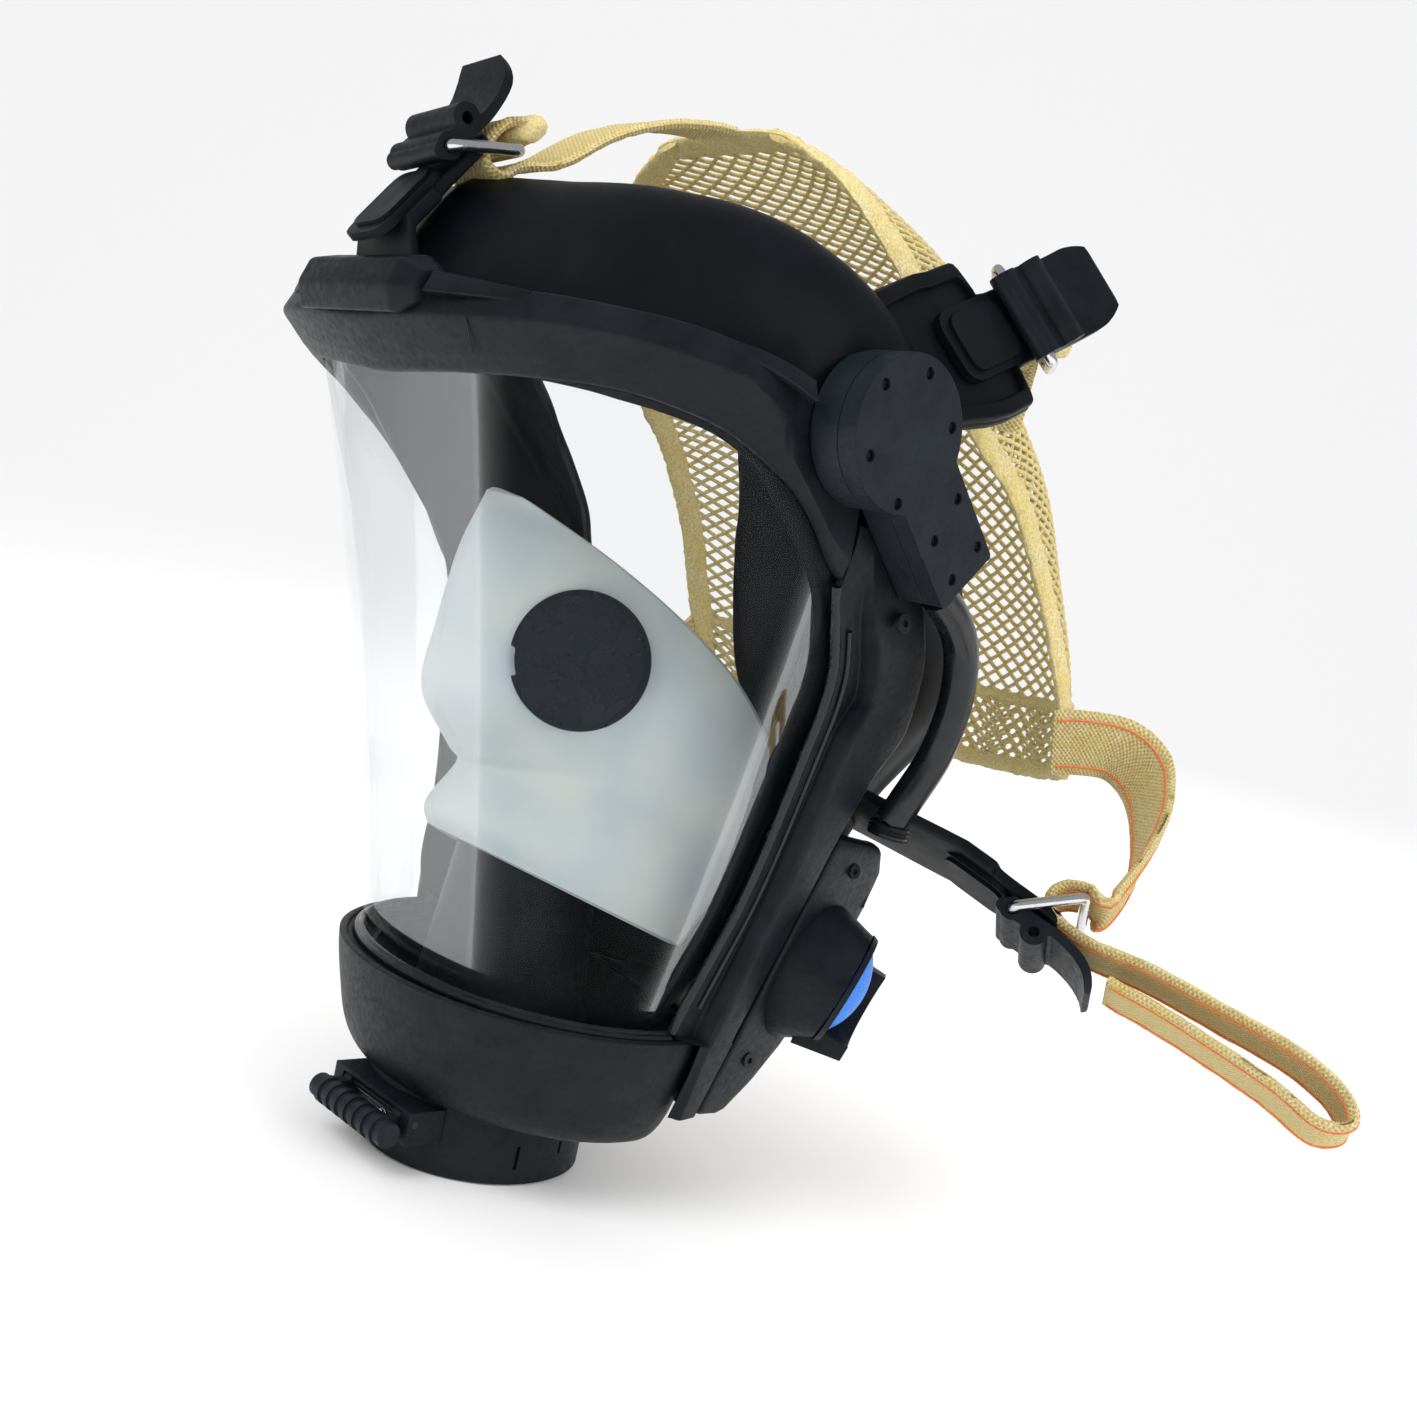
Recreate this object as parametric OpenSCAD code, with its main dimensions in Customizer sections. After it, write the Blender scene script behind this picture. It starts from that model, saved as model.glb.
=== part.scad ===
/* [Regulator port] */
// Bore radius of the regulator port
port_r = 24.5; // [24:0.25:25]
// Outer radius of the port collar
collar_r = 27.5; // [27.25:0.25:27.75]
// Depth of the port bore, from its mouth to the gasket shoulder
port_depth = 16; // [15:0.5:16]

/* [Lens] */
// Height of the visible lower edge of the lens above the port mouth
lens_z = 45.7; // [45.5:0.1:46]
// Height of the visible lens
lens_h = 135; // [134:0.5:136]
// Half width of the lens at its lower edge
base_hw = 52.2; // [52:0.1:52.5]
// Half width of the lens at its upper edge
top_hw = 84.5; // [84:0.1:85]
// Thickness of the lens
lens_t = 2.5; // [2:0.1:2.5]

/* [Head harness] */
// Width of the straps
strap_w = 18; // [16:0.5:18.5]
// Thickness of the straps
strap_t = 2; // [1.6:0.1:2.1]
// Thickness of the head net
net_t = 1.6; // [1.2:0.1:2]

/* [Buckles] */
// Width of a buckle
buckle_w = 20; // [18:0.5:20]
// Radius of the wire of the strap loops
wire_r = 1.3; // [1.2:0.05:1.35]

/* [Hidden] */
$fn = 48;
gap = 0.3;
depth = 0.78;
turn = 98;

// ---------- vectors and curves ----------
function unit(v) = v / norm(v);
function mix(a, b, t) = a + (b - a) * t;
function flip(p) = [-p[0], p[1], p[2]];
// Point i of a smooth curve through the list p, where t runs from 0 to len(p) - 1
function spline(p, t) =
    let (n = len(p) - 1, i = min(floor(t), n - 1), f = t - i,
        a = p[max(i - 1, 0)], b = p[i], c = p[i + 1], d = p[min(i + 2, n)])
    0.5 * (2 * b + (c - a) * f + (2 * a - 5 * b + 4 * c - d) * f * f
        + (3 * b - a - 3 * c + d) * f * f * f);
function smooth_list(p, m) = [for (i = [0 : m * (len(p) - 1)]) spline(p, i / m)];

// ---------- solids from lists of points ----------
// Polyhedron from triangles that agree with each other, turned right side out
module solid(points, faces) {
    v = [for (f = faces) cross(points[f[0]], points[f[1]]) * points[f[2]]];
    inside_out = v * [for (x = v) 1] > 0;
    polyhedron(points, inside_out ? [for (f = faces) [f[2], f[1], f[0]]] : faces);
}

// Closed sheet between two grids of points of the same size; "a" is the outer side
module sheet(a, b) {
    r = len(a);
    c = len(a[0]);
    n = r * c;
    function ai(i, j) = i * c + j;
    function bi(i, j) = n + i * c + j;
    faces = concat(
        [for (i = [0 : r - 2], j = [0 : c - 2]) each
            [[ai(i, j), ai(i + 1, j), ai(i + 1, j + 1)], [ai(i, j), ai(i + 1, j + 1), ai(i, j + 1)]]],
        [for (i = [0 : r - 2], j = [0 : c - 2]) each
            [[bi(i, j), bi(i + 1, j + 1), bi(i + 1, j)], [bi(i, j), bi(i, j + 1), bi(i + 1, j + 1)]]],
        [for (i = [0 : r - 2]) each
            [[ai(i, 0), bi(i + 1, 0), ai(i + 1, 0)], [ai(i, 0), bi(i, 0), bi(i + 1, 0)],
             [ai(i, c - 1), ai(i + 1, c - 1), bi(i + 1, c - 1)],
             [ai(i, c - 1), bi(i + 1, c - 1), bi(i, c - 1)]]],
        [for (j = [0 : c - 2]) each
            [[ai(0, j), ai(0, j + 1), bi(0, j + 1)], [ai(0, j), bi(0, j + 1), bi(0, j)],
             [ai(r - 1, j), bi(r - 1, j + 1), ai(r - 1, j + 1)],
             [ai(r - 1, j), bi(r - 1, j), bi(r - 1, j + 1)]]]);
    solid([for (row = a) each row, for (row = b) each row], faces);
}

// Closed solid through a list of rings; each ring is a convex outline with the same count
module loft(rings) {
    r = len(rings);
    c = len(rings[0]);
    sides = [for (i = [0 : r - 2], j = [0 : c - 1])
        let (k = (j + 1) % c) each
        [[i * c + j, i * c + k, (i + 1) * c + k], [i * c + j, (i + 1) * c + k, (i + 1) * c + j]]];
    ends = [for (j = [1 : c - 2]) each
        [[0, j + 1, j], [(r - 1) * c, (r - 1) * c + j, (r - 1) * c + j + 1]]];
    solid([for (ring = rings) each ring], concat(sides, ends));
}

// Closed ring-shaped solid: the sections, closed outlines with the same count, join in a loop
module loft_loop(sections) {
    r = len(sections);
    c = len(sections[0]);
    solid([for (s = sections) each s], [for (i = [0 : r - 1], j = [0 : c - 1])
        let (k = (j + 1) % c, m = (i + 1) % r) each
        [[i * c + j, i * c + k, m * c + k], [i * c + j, m * c + k, m * c + j]]]);
}

// Ribbon along a path: each station is [centre, width direction], w wide and t thick
module ribbon(stations, w, t) {
    n = len(stations);
    loft([for (i = [0 : n - 1])
        let (p = stations[i][0], u = unit(stations[i][1]),
            d = unit(stations[min(i + 1, n - 1)][0] - stations[max(i - 1, 0)][0]),
            v = unit(cross(d, u)))
        [p + u * w / 2 + v * t / 2, p - u * w / 2 + v * t / 2,
         p - u * w / 2 - v * t / 2, p + u * w / 2 - v * t / 2]]);
}

// Round bar along a path
module bar(path, r, sides) {
    n = len(path);
    loft([for (i = [0 : n - 1])
        let (d = unit(path[min(i + 1, n - 1)] - path[max(i - 1, 0)]),
            u = unit(cross(d, [1, 0.2, 0.1])), v = cross(d, u))
        [for (k = [0 : sides - 1])
            path[i] + r * (cos(360 * k / sides) * u + sin(360 * k / sides) * v)]]);
}

// Children as drawn on the wearer's left, or mirrored to the right
module side(s) {
    if (s > 0) children();
    else mirror([1, 0, 0]) children();
}

// ---------- the lens surface ----------
function half_w(z) = base_hw + (top_hw - base_hw) * (z - lens_z) / lens_h;
function mid_y(z) = let (t = (z - lens_z) / lens_h) 10.2 - 8.84 * t + 8.56 * t * (1 - t);
// Point at angle a from the front, height z and distance off outside the lens
function on_lens(a, z, off) =
    let (w = half_w(z) + off, d = depth * half_w(z) + off, m = min(abs(a), turn),
        run = (abs(a) - m) * w * PI / 180, t = unit([w * cos(m), d * sin(m)]), s = a < 0 ? -1 : 1)
    [s * (w * sin(m) + run * t[0]), mid_y(z) - d * cos(m) + run * t[1], z];
// Point on the left side at depth y, where the surface runs straight back past the turn
function on_side(y, z, off) =
    let (w = half_w(z) + off, d = depth * half_w(z) + off, k = (y - mid_y(z)) / d)
    k < -cos(turn) ? [w * sqrt(max(0, 1 - k * k)), y, z]
        : [w * sin(turn) + cos(turn) * w / d * (y - mid_y(z) + d * cos(turn)), y, z];
// Angle of the visible side edge of the lens at height z
function edge_a(z) = lookup(z, [[43, 88], [58, 90.4], [83, 97], [101, 98], [136, 98.5],
    [147, 91.5], [163, 81.5], [171, 75.7], [181, 64], [188, 57]]);
function edge_y(z) = on_lens(edge_a(z), z, 0)[1];

module lens() {
    zs = [43, 55, 70, 85, 101, 118, 136, 147, 158, 171, 181, 188];
    a = [for (z = zs) [for (u = [-1 : 0.125 : 1]) on_lens(u * (edge_a(z) + 1.5), z, 0)]];
    b = [for (z = zs) [for (u = [-1 : 0.125 : 1]) on_lens(u * (edge_a(z) + 1.5), z, -lens_t)]];
    color("lightcyan", 0.35) sheet(a, b);
}

// ---------- bezel ----------
// Stations over the brow, right to left: [angle, lower edge, front step, rear top]
function brow(a) = let (m = abs(a)) [a,
    lookup(m, [[0, 179.3], [23, 181.9], [41, 183.4], [49, 182.6], [60, 180], [75, 170.5], [88, 155]]),
    lookup(m, [[0, 188.6], [33, 192], [46, 192], [64, 188.8], [75, 181.5], [88, 166]]),
    lookup(m, [[0, 196.4], [34, 198], [52, 197.4], [64, 194.8], [75, 188.5], [88, 173.5]])];

// Flat seat on the left for the electronics module
seat_x = 83.4;
function seated(p) = p[0] > seat_x && p[2] > 150 ? [seat_x, p[1], p[2]] : p;
module brow_band() {
    loft([for (a = [-88 : 5.5 : 88]) let (b = brow(a))
        [for (p = [on_lens(a, b[1], gap), on_lens(a, b[1], 2.6), on_lens(a, b[2], 9),
            on_lens(a, b[3], 4), on_lens(a, b[3], gap)]) seated(p)]]);
}

// Lug at the middle of the brow, with a gusset on each side
module brow_lug() {
    loft([for (x = [-22, -19, 19, 22]) let (k = abs(x) > 20 ? 0.55 : 1)
        [[x, -72.5 - 3 * k, 191.2 - 2.2 * k], [x, -72.5 - 3 * k, 195], [x, -71.5, 196 + 3 * k],
         [x, -68, 196 + 4 * k], [x, -67.2, 190], [x, -71, 189]]]);
    for (s = [-1, 1])
        hull() {
            translate([s * 21, -71, 195.5]) cube([2, 7, 7], center = true);
            translate([s * 33, -66.5, 196]) cube([1, 3, 1.6], center = true);
        }
}

module temple_gussets() {
    for (s = [-1, 1])
        side(s) hull() {
            translate(on_lens(56, 195.5, 5.5)) cube([2, 2, 1.5], center = true);
            translate(on_lens(65, 195, 5.5)) cube([2.4, 4, 7], center = true);
        }
}

module upper_bezel() color("#20252b") union() {
    brow_band();
    brow_lug();
    temple_gussets();
}

// Bowl: outer rows as [z, half width, front depth, rear depth, middle]
bowl_rows = [[16.6, 44, 34, 22, 10], [18.4, 48, 38.5, 23, 10], [24, 51.5, 42.5, 23.5, 10.2],
    [33, 54.2, 45.6, 23.8, 10.6], [41, 56.5, 47.8, 24, 11], [45.2, 57.2, 48.3, 24, 11]];
bowl_t = 3;
function oval_pt(r, inset, a) = [(r[1] - inset) * cos(a),
    r[4] + ((sin(a) < 0 ? r[2] : r[3]) - inset) * sin(a), r[0]];
// Row that seats the lens edge at height z
function seat_row(z, off) = [z, half_w(z) + off, depth * half_w(z) + off, 20, mid_y(z)];
module lower_bezel() color("#20252b") loft_loop([for (a = [0 : 7.5 : 352.5]) concat(
    [for (r = bowl_rows) oval_pt(r, 0, a)],
    [oval_pt(seat_row(45.2, 0.5), 0, a), oval_pt(seat_row(42.6, 0.5), 0, a),
     oval_pt(seat_row(42, -3.2), 0, a)],
    [for (i = [3, 2]) oval_pt(bowl_rows[i], bowl_t + (i == 3 ? 1.5 : 0), a)],
    [for (z = [19.6, 16.6]) [(collar_r + 0.7) * cos(a), (collar_r + 0.7) * sin(a), z]])]);

// Side arms: [z, edge of the rail, front of the band, rear of the band, inner face]
arm_rows = [[168, 1.9, 7, 18, 0.4], [157, 2.6, 9.5, 26, 0.4], [152, 3.6, 11.5, 30, 0.5],
    [148, 6.5, 13.5, 34, 0.6], [141, 11.4, 19, 39, 2.2], [132, 15, 24, 42, 3.2], [124, 15.3, 20.5, 43, 3.6], [114, 15.5, 20.5, 37, 2],
    [100, 15.7, 20, 33, -2.6], [84, 15.4, 19.5, 30.5, -5], [60, 11, 16.5, 26.5, -5],
    [48, 9, 15, 24.5, -5], [45.9, 9.5, 15, 24.3, -4.6], [45.5, 13.2, 15, 24.2, 7.2],
    [38, 13.4, 15, 23, 7.2], [26, 13.6, 15, 21.5, 6.2]];
band_off = 9;
// Keeps the top of an arm behind the electronics module
function behind(p) = [p[2] > 138 ? min(p[0], seat_x) : p[0], p[1], p[2]];

module side_arm() {
    loft([for (r = arm_rows) let (z = r[0], i = r[4], g = z < 45.8 ? i : gap)
        [for (p = [on_side(r[1], z, g), on_side(r[1], z, max(2.6, g + 0.4)),
            on_side(r[2] - 0.8, z, max(3.2, g + 0.8)), on_side(r[2], z, band_off),
            on_side(r[3], z, band_off), on_side(r[3], z, i), on_side(r[2] + 0.5, z, i),
            on_side(r[2], z, g)]) behind(p)]]);
}
module side_arm_left() color("#20252b") side_arm();
module side_arm_right() color("#20252b") side(-1) side_arm();

module bezel_screws() color("silver")
    for (s = [-1, 1]) {
        translate([s * 15, -75.6, 192.4]) rotate([90, 0, 0]) screw(2.2, 1.2);
        side(s) translate(on_side(20, 150, band_off + 0.1)) rotate([0, 80, 0]) screw(2.2, 1.2);
    }
module screw(r, h) difference() {
    cylinder(r = r, h = h);
    translate([0, 0, h - 0.6]) cylinder(r = r * 0.45, h = 1, $fn = 6);
}

// ---------- amplifier on the wearer's left ----------
// Cover sections: [z, parting line, rear edge]
cover_rows = [[98.5, 33.4, 61], [92, 32.2, 65.5], [82, 30.8, 65], [70, 29, 62.5], [57, 27, 58],
    [45, 25, 53.5], [35, 23.2, 47], [26, 22, 38]];
cover_slope = 0.13;
cover_t = 1.8;
// Row of a cover from its front rim round the outside to its rear rim, at row r, "in" inside the skin.
// A row with rim true is the upper or lower rim, drawn in to the inner side.
function cover_row(r, in, dz, rim) =
    let (f = r[1] + in * 0.8, e = r[2] - in, o = band_off - in, low = [f, r[0] < 50 ? -0.5 : -4], high = [e, 0.5],
        skin = [low, [f, o * 0.6], [f, o], [mix(f, e, 0.5), o], [e - 6, o - 0.5], [e, o - 6], high])
    [for (j = [0 : 6]) let (p = rim ? mix(low, high, 0.05 + 0.15 * j) : skin[j])
        on_side(p[0], r[0] + dz - cover_slope * (p[0] - f), p[1])];
module cover_shell() {
    n = len(cover_rows) - 1;
    sheet(concat([cover_row(cover_rows[0], 0, 0, true)], [for (r = cover_rows) cover_row(r, 0, 0, false)],
            [cover_row(cover_rows[n], 0, 0, true)]),
        concat([cover_row(cover_rows[0], cover_t, -cover_t, true)],
            [for (i = [0 : n]) cover_row(cover_rows[i], cover_t, i == 0 ? -cover_t : i == n ? cover_t : 0, false)],
            [cover_row(cover_rows[n], cover_t, cover_t, true)]));
}
// Middle of the seat of the power button, and its axis
boss = [68.2, 47, 62.2];
boss_dir = unit([0.74, 0.59, -0.32]);
button_r = 11.5;
// Children with +Z turned to direction d, at point p
module aim(p, d) translate(p)
    rotate([0, acos(d[2] / norm(d)), atan2(d[1], d[0])]) children();

// The cover fits round the sleeve of the button and the plug
module amp_cover() color("#23292f") difference() {
    cover_shell();
    aim(boss, boss_dir) translate([0, 0, -13.6]) cylinder(r = button_r + 2.6, h = 44);
    service_plug();
}
// Sleeve that carries the button, with a floor for its spring
module button_housing() color("#23292f") aim(boss, boss_dir) difference() {
    translate([0, 0, -13.5]) cylinder(r = button_r + 2.5, h = 14);
    translate([0, 0, -12.2]) cylinder(r = button_r + 0.1, h = 20);
}
// Round block on the lower and rear sides of the button, from height z
module guard_sector(z, r1, r2, h) intersection() {
    translate([0, 0, z]) cylinder(r1 = r1, r2 = r2, h = h);
    translate([-5, -2, z - 1]) cube([40, 40, h + 2]);
}
module button_guard() color("#191d22") aim(boss, boss_dir) difference() {
    union() {
        translate([0, 0, 0.8]) cylinder(r1 = button_r + 3, r2 = button_r + 2.4, h = 1.4);
        guard_sector(-3, 18, 15.5, 12.2);
    }
    translate([0, 0, -5]) cylinder(r = button_r + 0.1, h = 20);
    translate([0, 0, -5]) cylinder(r = button_r + 2.55, h = 5.6);
}
dome_h = 4.2;
dome_r = (button_r * button_r + dome_h * dome_h) / (2 * dome_h);
module power_button() color("dodgerblue") aim(boss, boss_dir) {
    translate([0, 0, -5]) cylinder(r = button_r, h = 7);
    intersection() {
        translate([0, 0, 2 + dome_h - dome_r]) sphere(r = dome_r);
        cylinder(r = button_r, h = 10);
    }
}
module coil(r, wire, turns, h) {
    loft([for (i = [0 : turns * 10]) let (a = 36 * i, z = h * i / (turns * 10))
        [for (k = [0 : 5]) [(r + wire * cos(60 * k)) * cos(a), (r + wire * cos(60 * k)) * sin(a),
            z + wire * sin(60 * k)]]]);
}
module button_spring() color("silver") aim(boss, boss_dir) translate([0, 0, -11.4]) coil(6, 0.35, 4, 5.8);
module amp_board() color("darkgreen") loft([for (r = [[92, 36, 46], [62, 31, 37], [30, 26, 29]])
    [on_side(r[1], r[0], 1.2), on_side(r[2], r[0], 1.2), on_side(r[2], r[0], -0.2), on_side(r[1], r[0], -0.2)]]);
module amp_speaker() color("dimgray") aim(on_side(39, 86, 3.6), [0.95, 0.1, -0.25]) cylinder(r = 5.5, h = 2.4);
module amp_battery() color("olive") loft([for (r = [[46, 27.2, 33.6], [32, 25, 29.4]])
    [on_side(r[1], r[0], 6.4), on_side(r[2], r[0], 5), on_side(r[2], r[0], 2), on_side(r[1], r[0], 2)]]);
module amp_screws() color("silver")
    for (p = [[44, 90], [33, 40]])
        translate(on_side(p[0], p[1], band_off + 0.1)) rotate([0, 82, 0]) screw(1.8, 1);
module service_plug() color("#15181c") aim(on_side(54.2, 84, 1), [0.25, 0.95, -0.1])
    translate([-4, -6, 0]) cube([8, 12, 5]);

// ---------- speech diaphragm on the wearer's right ----------
module voice_cover_right() color("#23292f") side(-1) difference() {
    cover_shell();
    for (i = [0 : 4])
        aim(on_side(38 + i * 2, 58 + i * 6, band_off), [0.98, 0.15, -0.2])
            translate([0, 0, -5]) cylinder(r = 1.6, h = 9);
}
module voice_diaphragm() color("silver") side(-1)
    aim(on_side(37, 70, 2.2), [0.97, 0.18, -0.2]) cylinder(r = 5.6, h = 0.4);
module voice_retainer() color("dimgray") side(-1)
    aim(on_side(37, 70, 2.2), [0.97, 0.18, -0.2]) translate([0, 0, 0.6]) difference() {
        cylinder(r = 6, h = 1.6);
        translate([0, 0, -1]) cylinder(r = 4.6, h = 4);
    }

// ---------- port ----------
module port_collar() color("#1b2026") difference() {
    union() {
        cylinder(r = collar_r, h = 22.4);
        translate([0, 0, 21.6]) cylinder(r = collar_r + 1.1, h = 0.8);
        translate([-17, -32, 8]) cube([34, 10, 8]);
    }
    translate([0, 0, -1]) cylinder(r = port_r, h = port_depth + 1);
    translate([0, 0, port_depth - 0.5]) cylinder(r = 21, h = 12);
    translate([0, 0, port_depth - 0.01]) cylinder(r = port_r - 1, h = 2);
    // two narrow slots on the left side
    for (w = [[-13, 3.7, 5.7], [14, 6.4, 3]])
        rotate([0, 0, w[0]]) translate([collar_r - 1, -0.5, w[1]]) cube([2, 1, w[2]]);
    // pocket for the latch and bore for its pin
    translate([-13.2, -36, 5]) cube([26.4, 9, 10]);
    translate([-18, -30, 13]) rotate([0, 90, 0]) cylinder(r = 1.05, h = 36);
}
module port_gasket() color("black") translate([0, 0, port_depth + 0.05]) difference() {
    cylinder(r = port_r - 1.1, h = 1.8);
    translate([0, 0, -1]) cylinder(r = 21.4, h = 4);
}
// Release bar on two arms that turn on the pin
module port_latch() color("#15191d") difference() {
    union() {
        translate([-16, -36, 10.5]) rotate([0, 90, 0]) cylinder(r = 3, h = 32);
        for (i = [-3 : 3])
            translate([i * 4 - 0.9, -36, 10.5]) rotate([0, 90, 0]) cylinder(r = 3.5, h = 1.8);
        for (x = [-12.9, 9.9])
            translate([x, 0, 0]) {
                translate([0, -30, 13]) rotate([0, 90, 0]) cylinder(r = 2, h = 3);
                translate([0, -36, 9.5]) cube([3, 6, 4]);
            }
        translate([-12, -35, 9.8]) cube([24, 3.4, 1.8]);
    }
    translate([-18, -30, 13]) rotate([0, 90, 0]) cylinder(r = 1.1, h = 36);
}
module latch_pin() color("silver") translate([-17, -30, 13]) rotate([0, 90, 0]) cylinder(r = 1, h = 34);
module latch_spring() color("silver") translate([0, -27.4, 8.5]) rotate([90, 0, 0]) coil(1.6, 0.25, 3, 2.6);

// ---------- nose cup ----------
// Rows from the nose bridge to the chin: [front point, left edge point]
cup_rows = [[[0, -33, 160], [8, -27.5, 159.5]], [[0, -37.2, 146], [22, -8, 150]],
    [[0, -39, 128], [34, 10, 139]], [[0, -39.3, 112], [43, 24, 127]],
    [[0, -29, 99.5], [48, 33, 113]], [[0, -25, 95], [49.5, 34, 98]],
    [[0, -31.7, 85.5], [47, 27, 80]], [[0, -30, 80.5], [43.5, 20, 63]]];
cup_nose_r = 0.12;
function cup_pt(row, u, inset) =
    let (c = row[0], e = row[1], s = abs(u), run = e[1] - c[1], k = min(1, e[0] / run),
        f = k * (sqrt(s * s + cup_nose_r * cup_nose_r) - cup_nose_r) + (1 - k) * pow(s, 4))
    [u * (e[0] - inset * 0.7), c[1] + (run - inset) * f + inset * 1.3, mix(c[2], e[2], f)];
cup_fine = [for (t = [0 : 0.5 : 7]) [spline([for (r = cup_rows) r[0]], t), spline([for (r = cup_rows) r[1]], t)]];
module nose_cup() color("ivory", 0.7) difference() {
    sheet([for (r = cup_fine) [for (u = [-1 : 0.1 : 1]) cup_pt(r, u, 0)]],
        [for (r = cup_fine) [for (u = [-1 : 0.1 : 1]) cup_pt(r, u, 2)]]);
    for (s = [-1, 1])
        side(s) aim(valve, valve_dir) {
            translate([0, 0, -9]) cylinder(r = 14.6, h = 16);
            translate([0, 0, 2.1]) cylinder(r = 16.35, h = 5);
        }
}
valve = [23, -14.4, 126];
valve_dir = unit([0.7, -0.7, 0.1]);
// Seat through the cup's wall, with a cap held off its outer face so that air passes under the cap's rim
module valve_seat() aim(valve, valve_dir) {
    difference() {
        union() {
            translate([0, 0, -3]) cylinder(r = 14.3, h = 5.4);
            translate([0, 0, 2.2]) cylinder(r = 16.2, h = 1.6);
        }
        translate([0, 0, -4]) cylinder(r = 12, h = 6);
        translate([0, 0, 1]) difference() {
            cylinder(r = 10.5, h = 5);
            cylinder(r = 3, h = 5);
            for (k = [0 : 2]) rotate([0, 0, 120 * k]) translate([0, -1, 0]) cube([12, 2, 5]);
        }
    }
    translate([0, 0, 3.5]) cylinder(r = 2.6, h = 1.2);
    translate([0, 0, 4.6]) cylinder(r = 14.8, h = 0.9);
    translate([-9, 6, 5.3]) cylinder(r = 1.4, h = 0.8);
}
// Disc on the inner end of the seat, which it leaves towards the face
module valve_flap() aim(valve, valve_dir) translate([0, 0, -4.05]) cylinder(r = 13.6, h = 0.9);
module valve_seat_left() color("#1a222a") valve_seat();
module valve_seat_right() color("#1a222a") side(-1) valve_seat();
module inhalation_flap_left() color("#1a222a") valve_flap();
module inhalation_flap_right() color("#1a222a") side(-1) valve_flap();

// Duct from the port up into the nose cup
module nose_cup_adapter() color("#1d242b") rotate_extrude()
    polygon([[20.6, 22.4], [26.5, 22.4], [26.5, 25], [24, 27], [21, 44], [19, 62], [17.6, 76],
        [15.6, 76], [17, 62], [19, 44], [20.6, 28]]);

// ---------- face seal ----------
// Stations from the brow centre down the left side to the chin centre. Each one is
// [rim behind the lens, outer edge, crest of the fold, back of the fold, inner lip]
seal_left = [
    [[0, -62, 182], [0, -65.2, 200], [0, -55, 220.5], [0, -44, 223], [0, -31, 204]],
    [[24, -59.6, 184], [24.5, -61.6, 201], [22, -47.5, 222], [20, -35, 223], [16, -23, 201]],
    [[50, -45, 183], [51, -46.3, 200], [46, -39, 222.5], [42, -25, 222], [29, -9, 194]],
    [[69, -27, 179], [70.5, -26.5, 196], [69.5, -27, 218.5], [64, -10, 217], [36, 4, 186]],
    [[74.5, -12, 166], [79.5, -8, 184], [83, -12, 207], [78, 6, 203], [35, 9.5, 178]],
    [[73.5, 3, 150], [78, 14, 166], [81.5, 16, 184], [76, 29, 180], [32.5, 15.5, 168]],
    [[68.2, 8, 136], [74, 30, 146], [76, 44, 158], [68, 50, 153], [30, 20, 157]],
    [[63.5, 9, 118], [69, 34, 126], [72, 52, 132], [64, 56, 128], [31, 26, 134]],
    [[60.6, 9.5, 98], [57, 28, 100], [56, 50, 104], [51, 54, 100], [36, 36, 106]],
    [[56.5, 9, 78], [50, 28, 78], [49.5, 45.5, 78], [45, 49, 76], [36, 34, 80]],
    [[49.5, 6, 54], [44, 26, 58], [43, 40, 52], [39, 43, 50], [31, 32, 60]],
    [[38, 16, 48], [34, 29.5, 51], [34, 40, 40], [31, 44, 40], [26, 33, 53]],
    [[20, 25, 49], [19, 34.5, 50], [18, 42, 36], [16, 46, 37], [14, 37, 50]],
    [[0, 28, 49], [0, 36.5, 50], [0, 43, 34], [0, 47, 35], [0, 39, 49]]];
seal_t = 2;
module seal_body() {
    left = smooth_list(seal_left, 3);
    n = len(left);
    around = concat([for (i = [0 : n - 1]) left[i]],
        [for (i = [n - 2 : -1 : 1]) [for (p = left[i]) flip(p)]]);
    rows = [for (s = around) smooth_list(s, 3)];
    shell_loop(rows, seal_t);
}
// Closed shell around a loop of rows, t thick, from its own vertex normals
module shell_loop(rows, t) {
    m = len(rows);
    c = len(rows[0]);
    inner = [for (i = [0 : m - 1]) [for (j = [0 : c - 1])
        let (du = rows[(i + 1) % m][j] - rows[(i + m - 1) % m][j],
            dv = rows[i][min(j + 1, c - 1)] - rows[i][max(j - 1, 0)])
        rows[i][j] - t * unit(cross(dv, du))]];
    n = m * c;
    function ai(i, j) = (i % m) * c + j;
    function bi(i, j) = n + (i % m) * c + j;
    faces = [for (i = [0 : m - 1], j = [0 : c - 2]) each
            [[ai(i, j), ai(i + 1, j + 1), ai(i + 1, j)], [ai(i, j), ai(i, j + 1), ai(i + 1, j + 1)],
             [bi(i, j), bi(i + 1, j), bi(i + 1, j + 1)], [bi(i, j), bi(i + 1, j + 1), bi(i, j + 1)]]];
    rims = [for (i = [0 : m - 1]) each
            [[ai(i, 0), ai(i + 1, 0), bi(i + 1, 0)], [ai(i, 0), bi(i + 1, 0), bi(i, 0)],
             [ai(i, c - 1), bi(i + 1, c - 1), ai(i + 1, c - 1)],
             [ai(i, c - 1), bi(i, c - 1), bi(i + 1, c - 1)]]];
    solid([for (row = rows) each row, for (row = inner) each row], concat(faces, rims));
}

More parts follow.
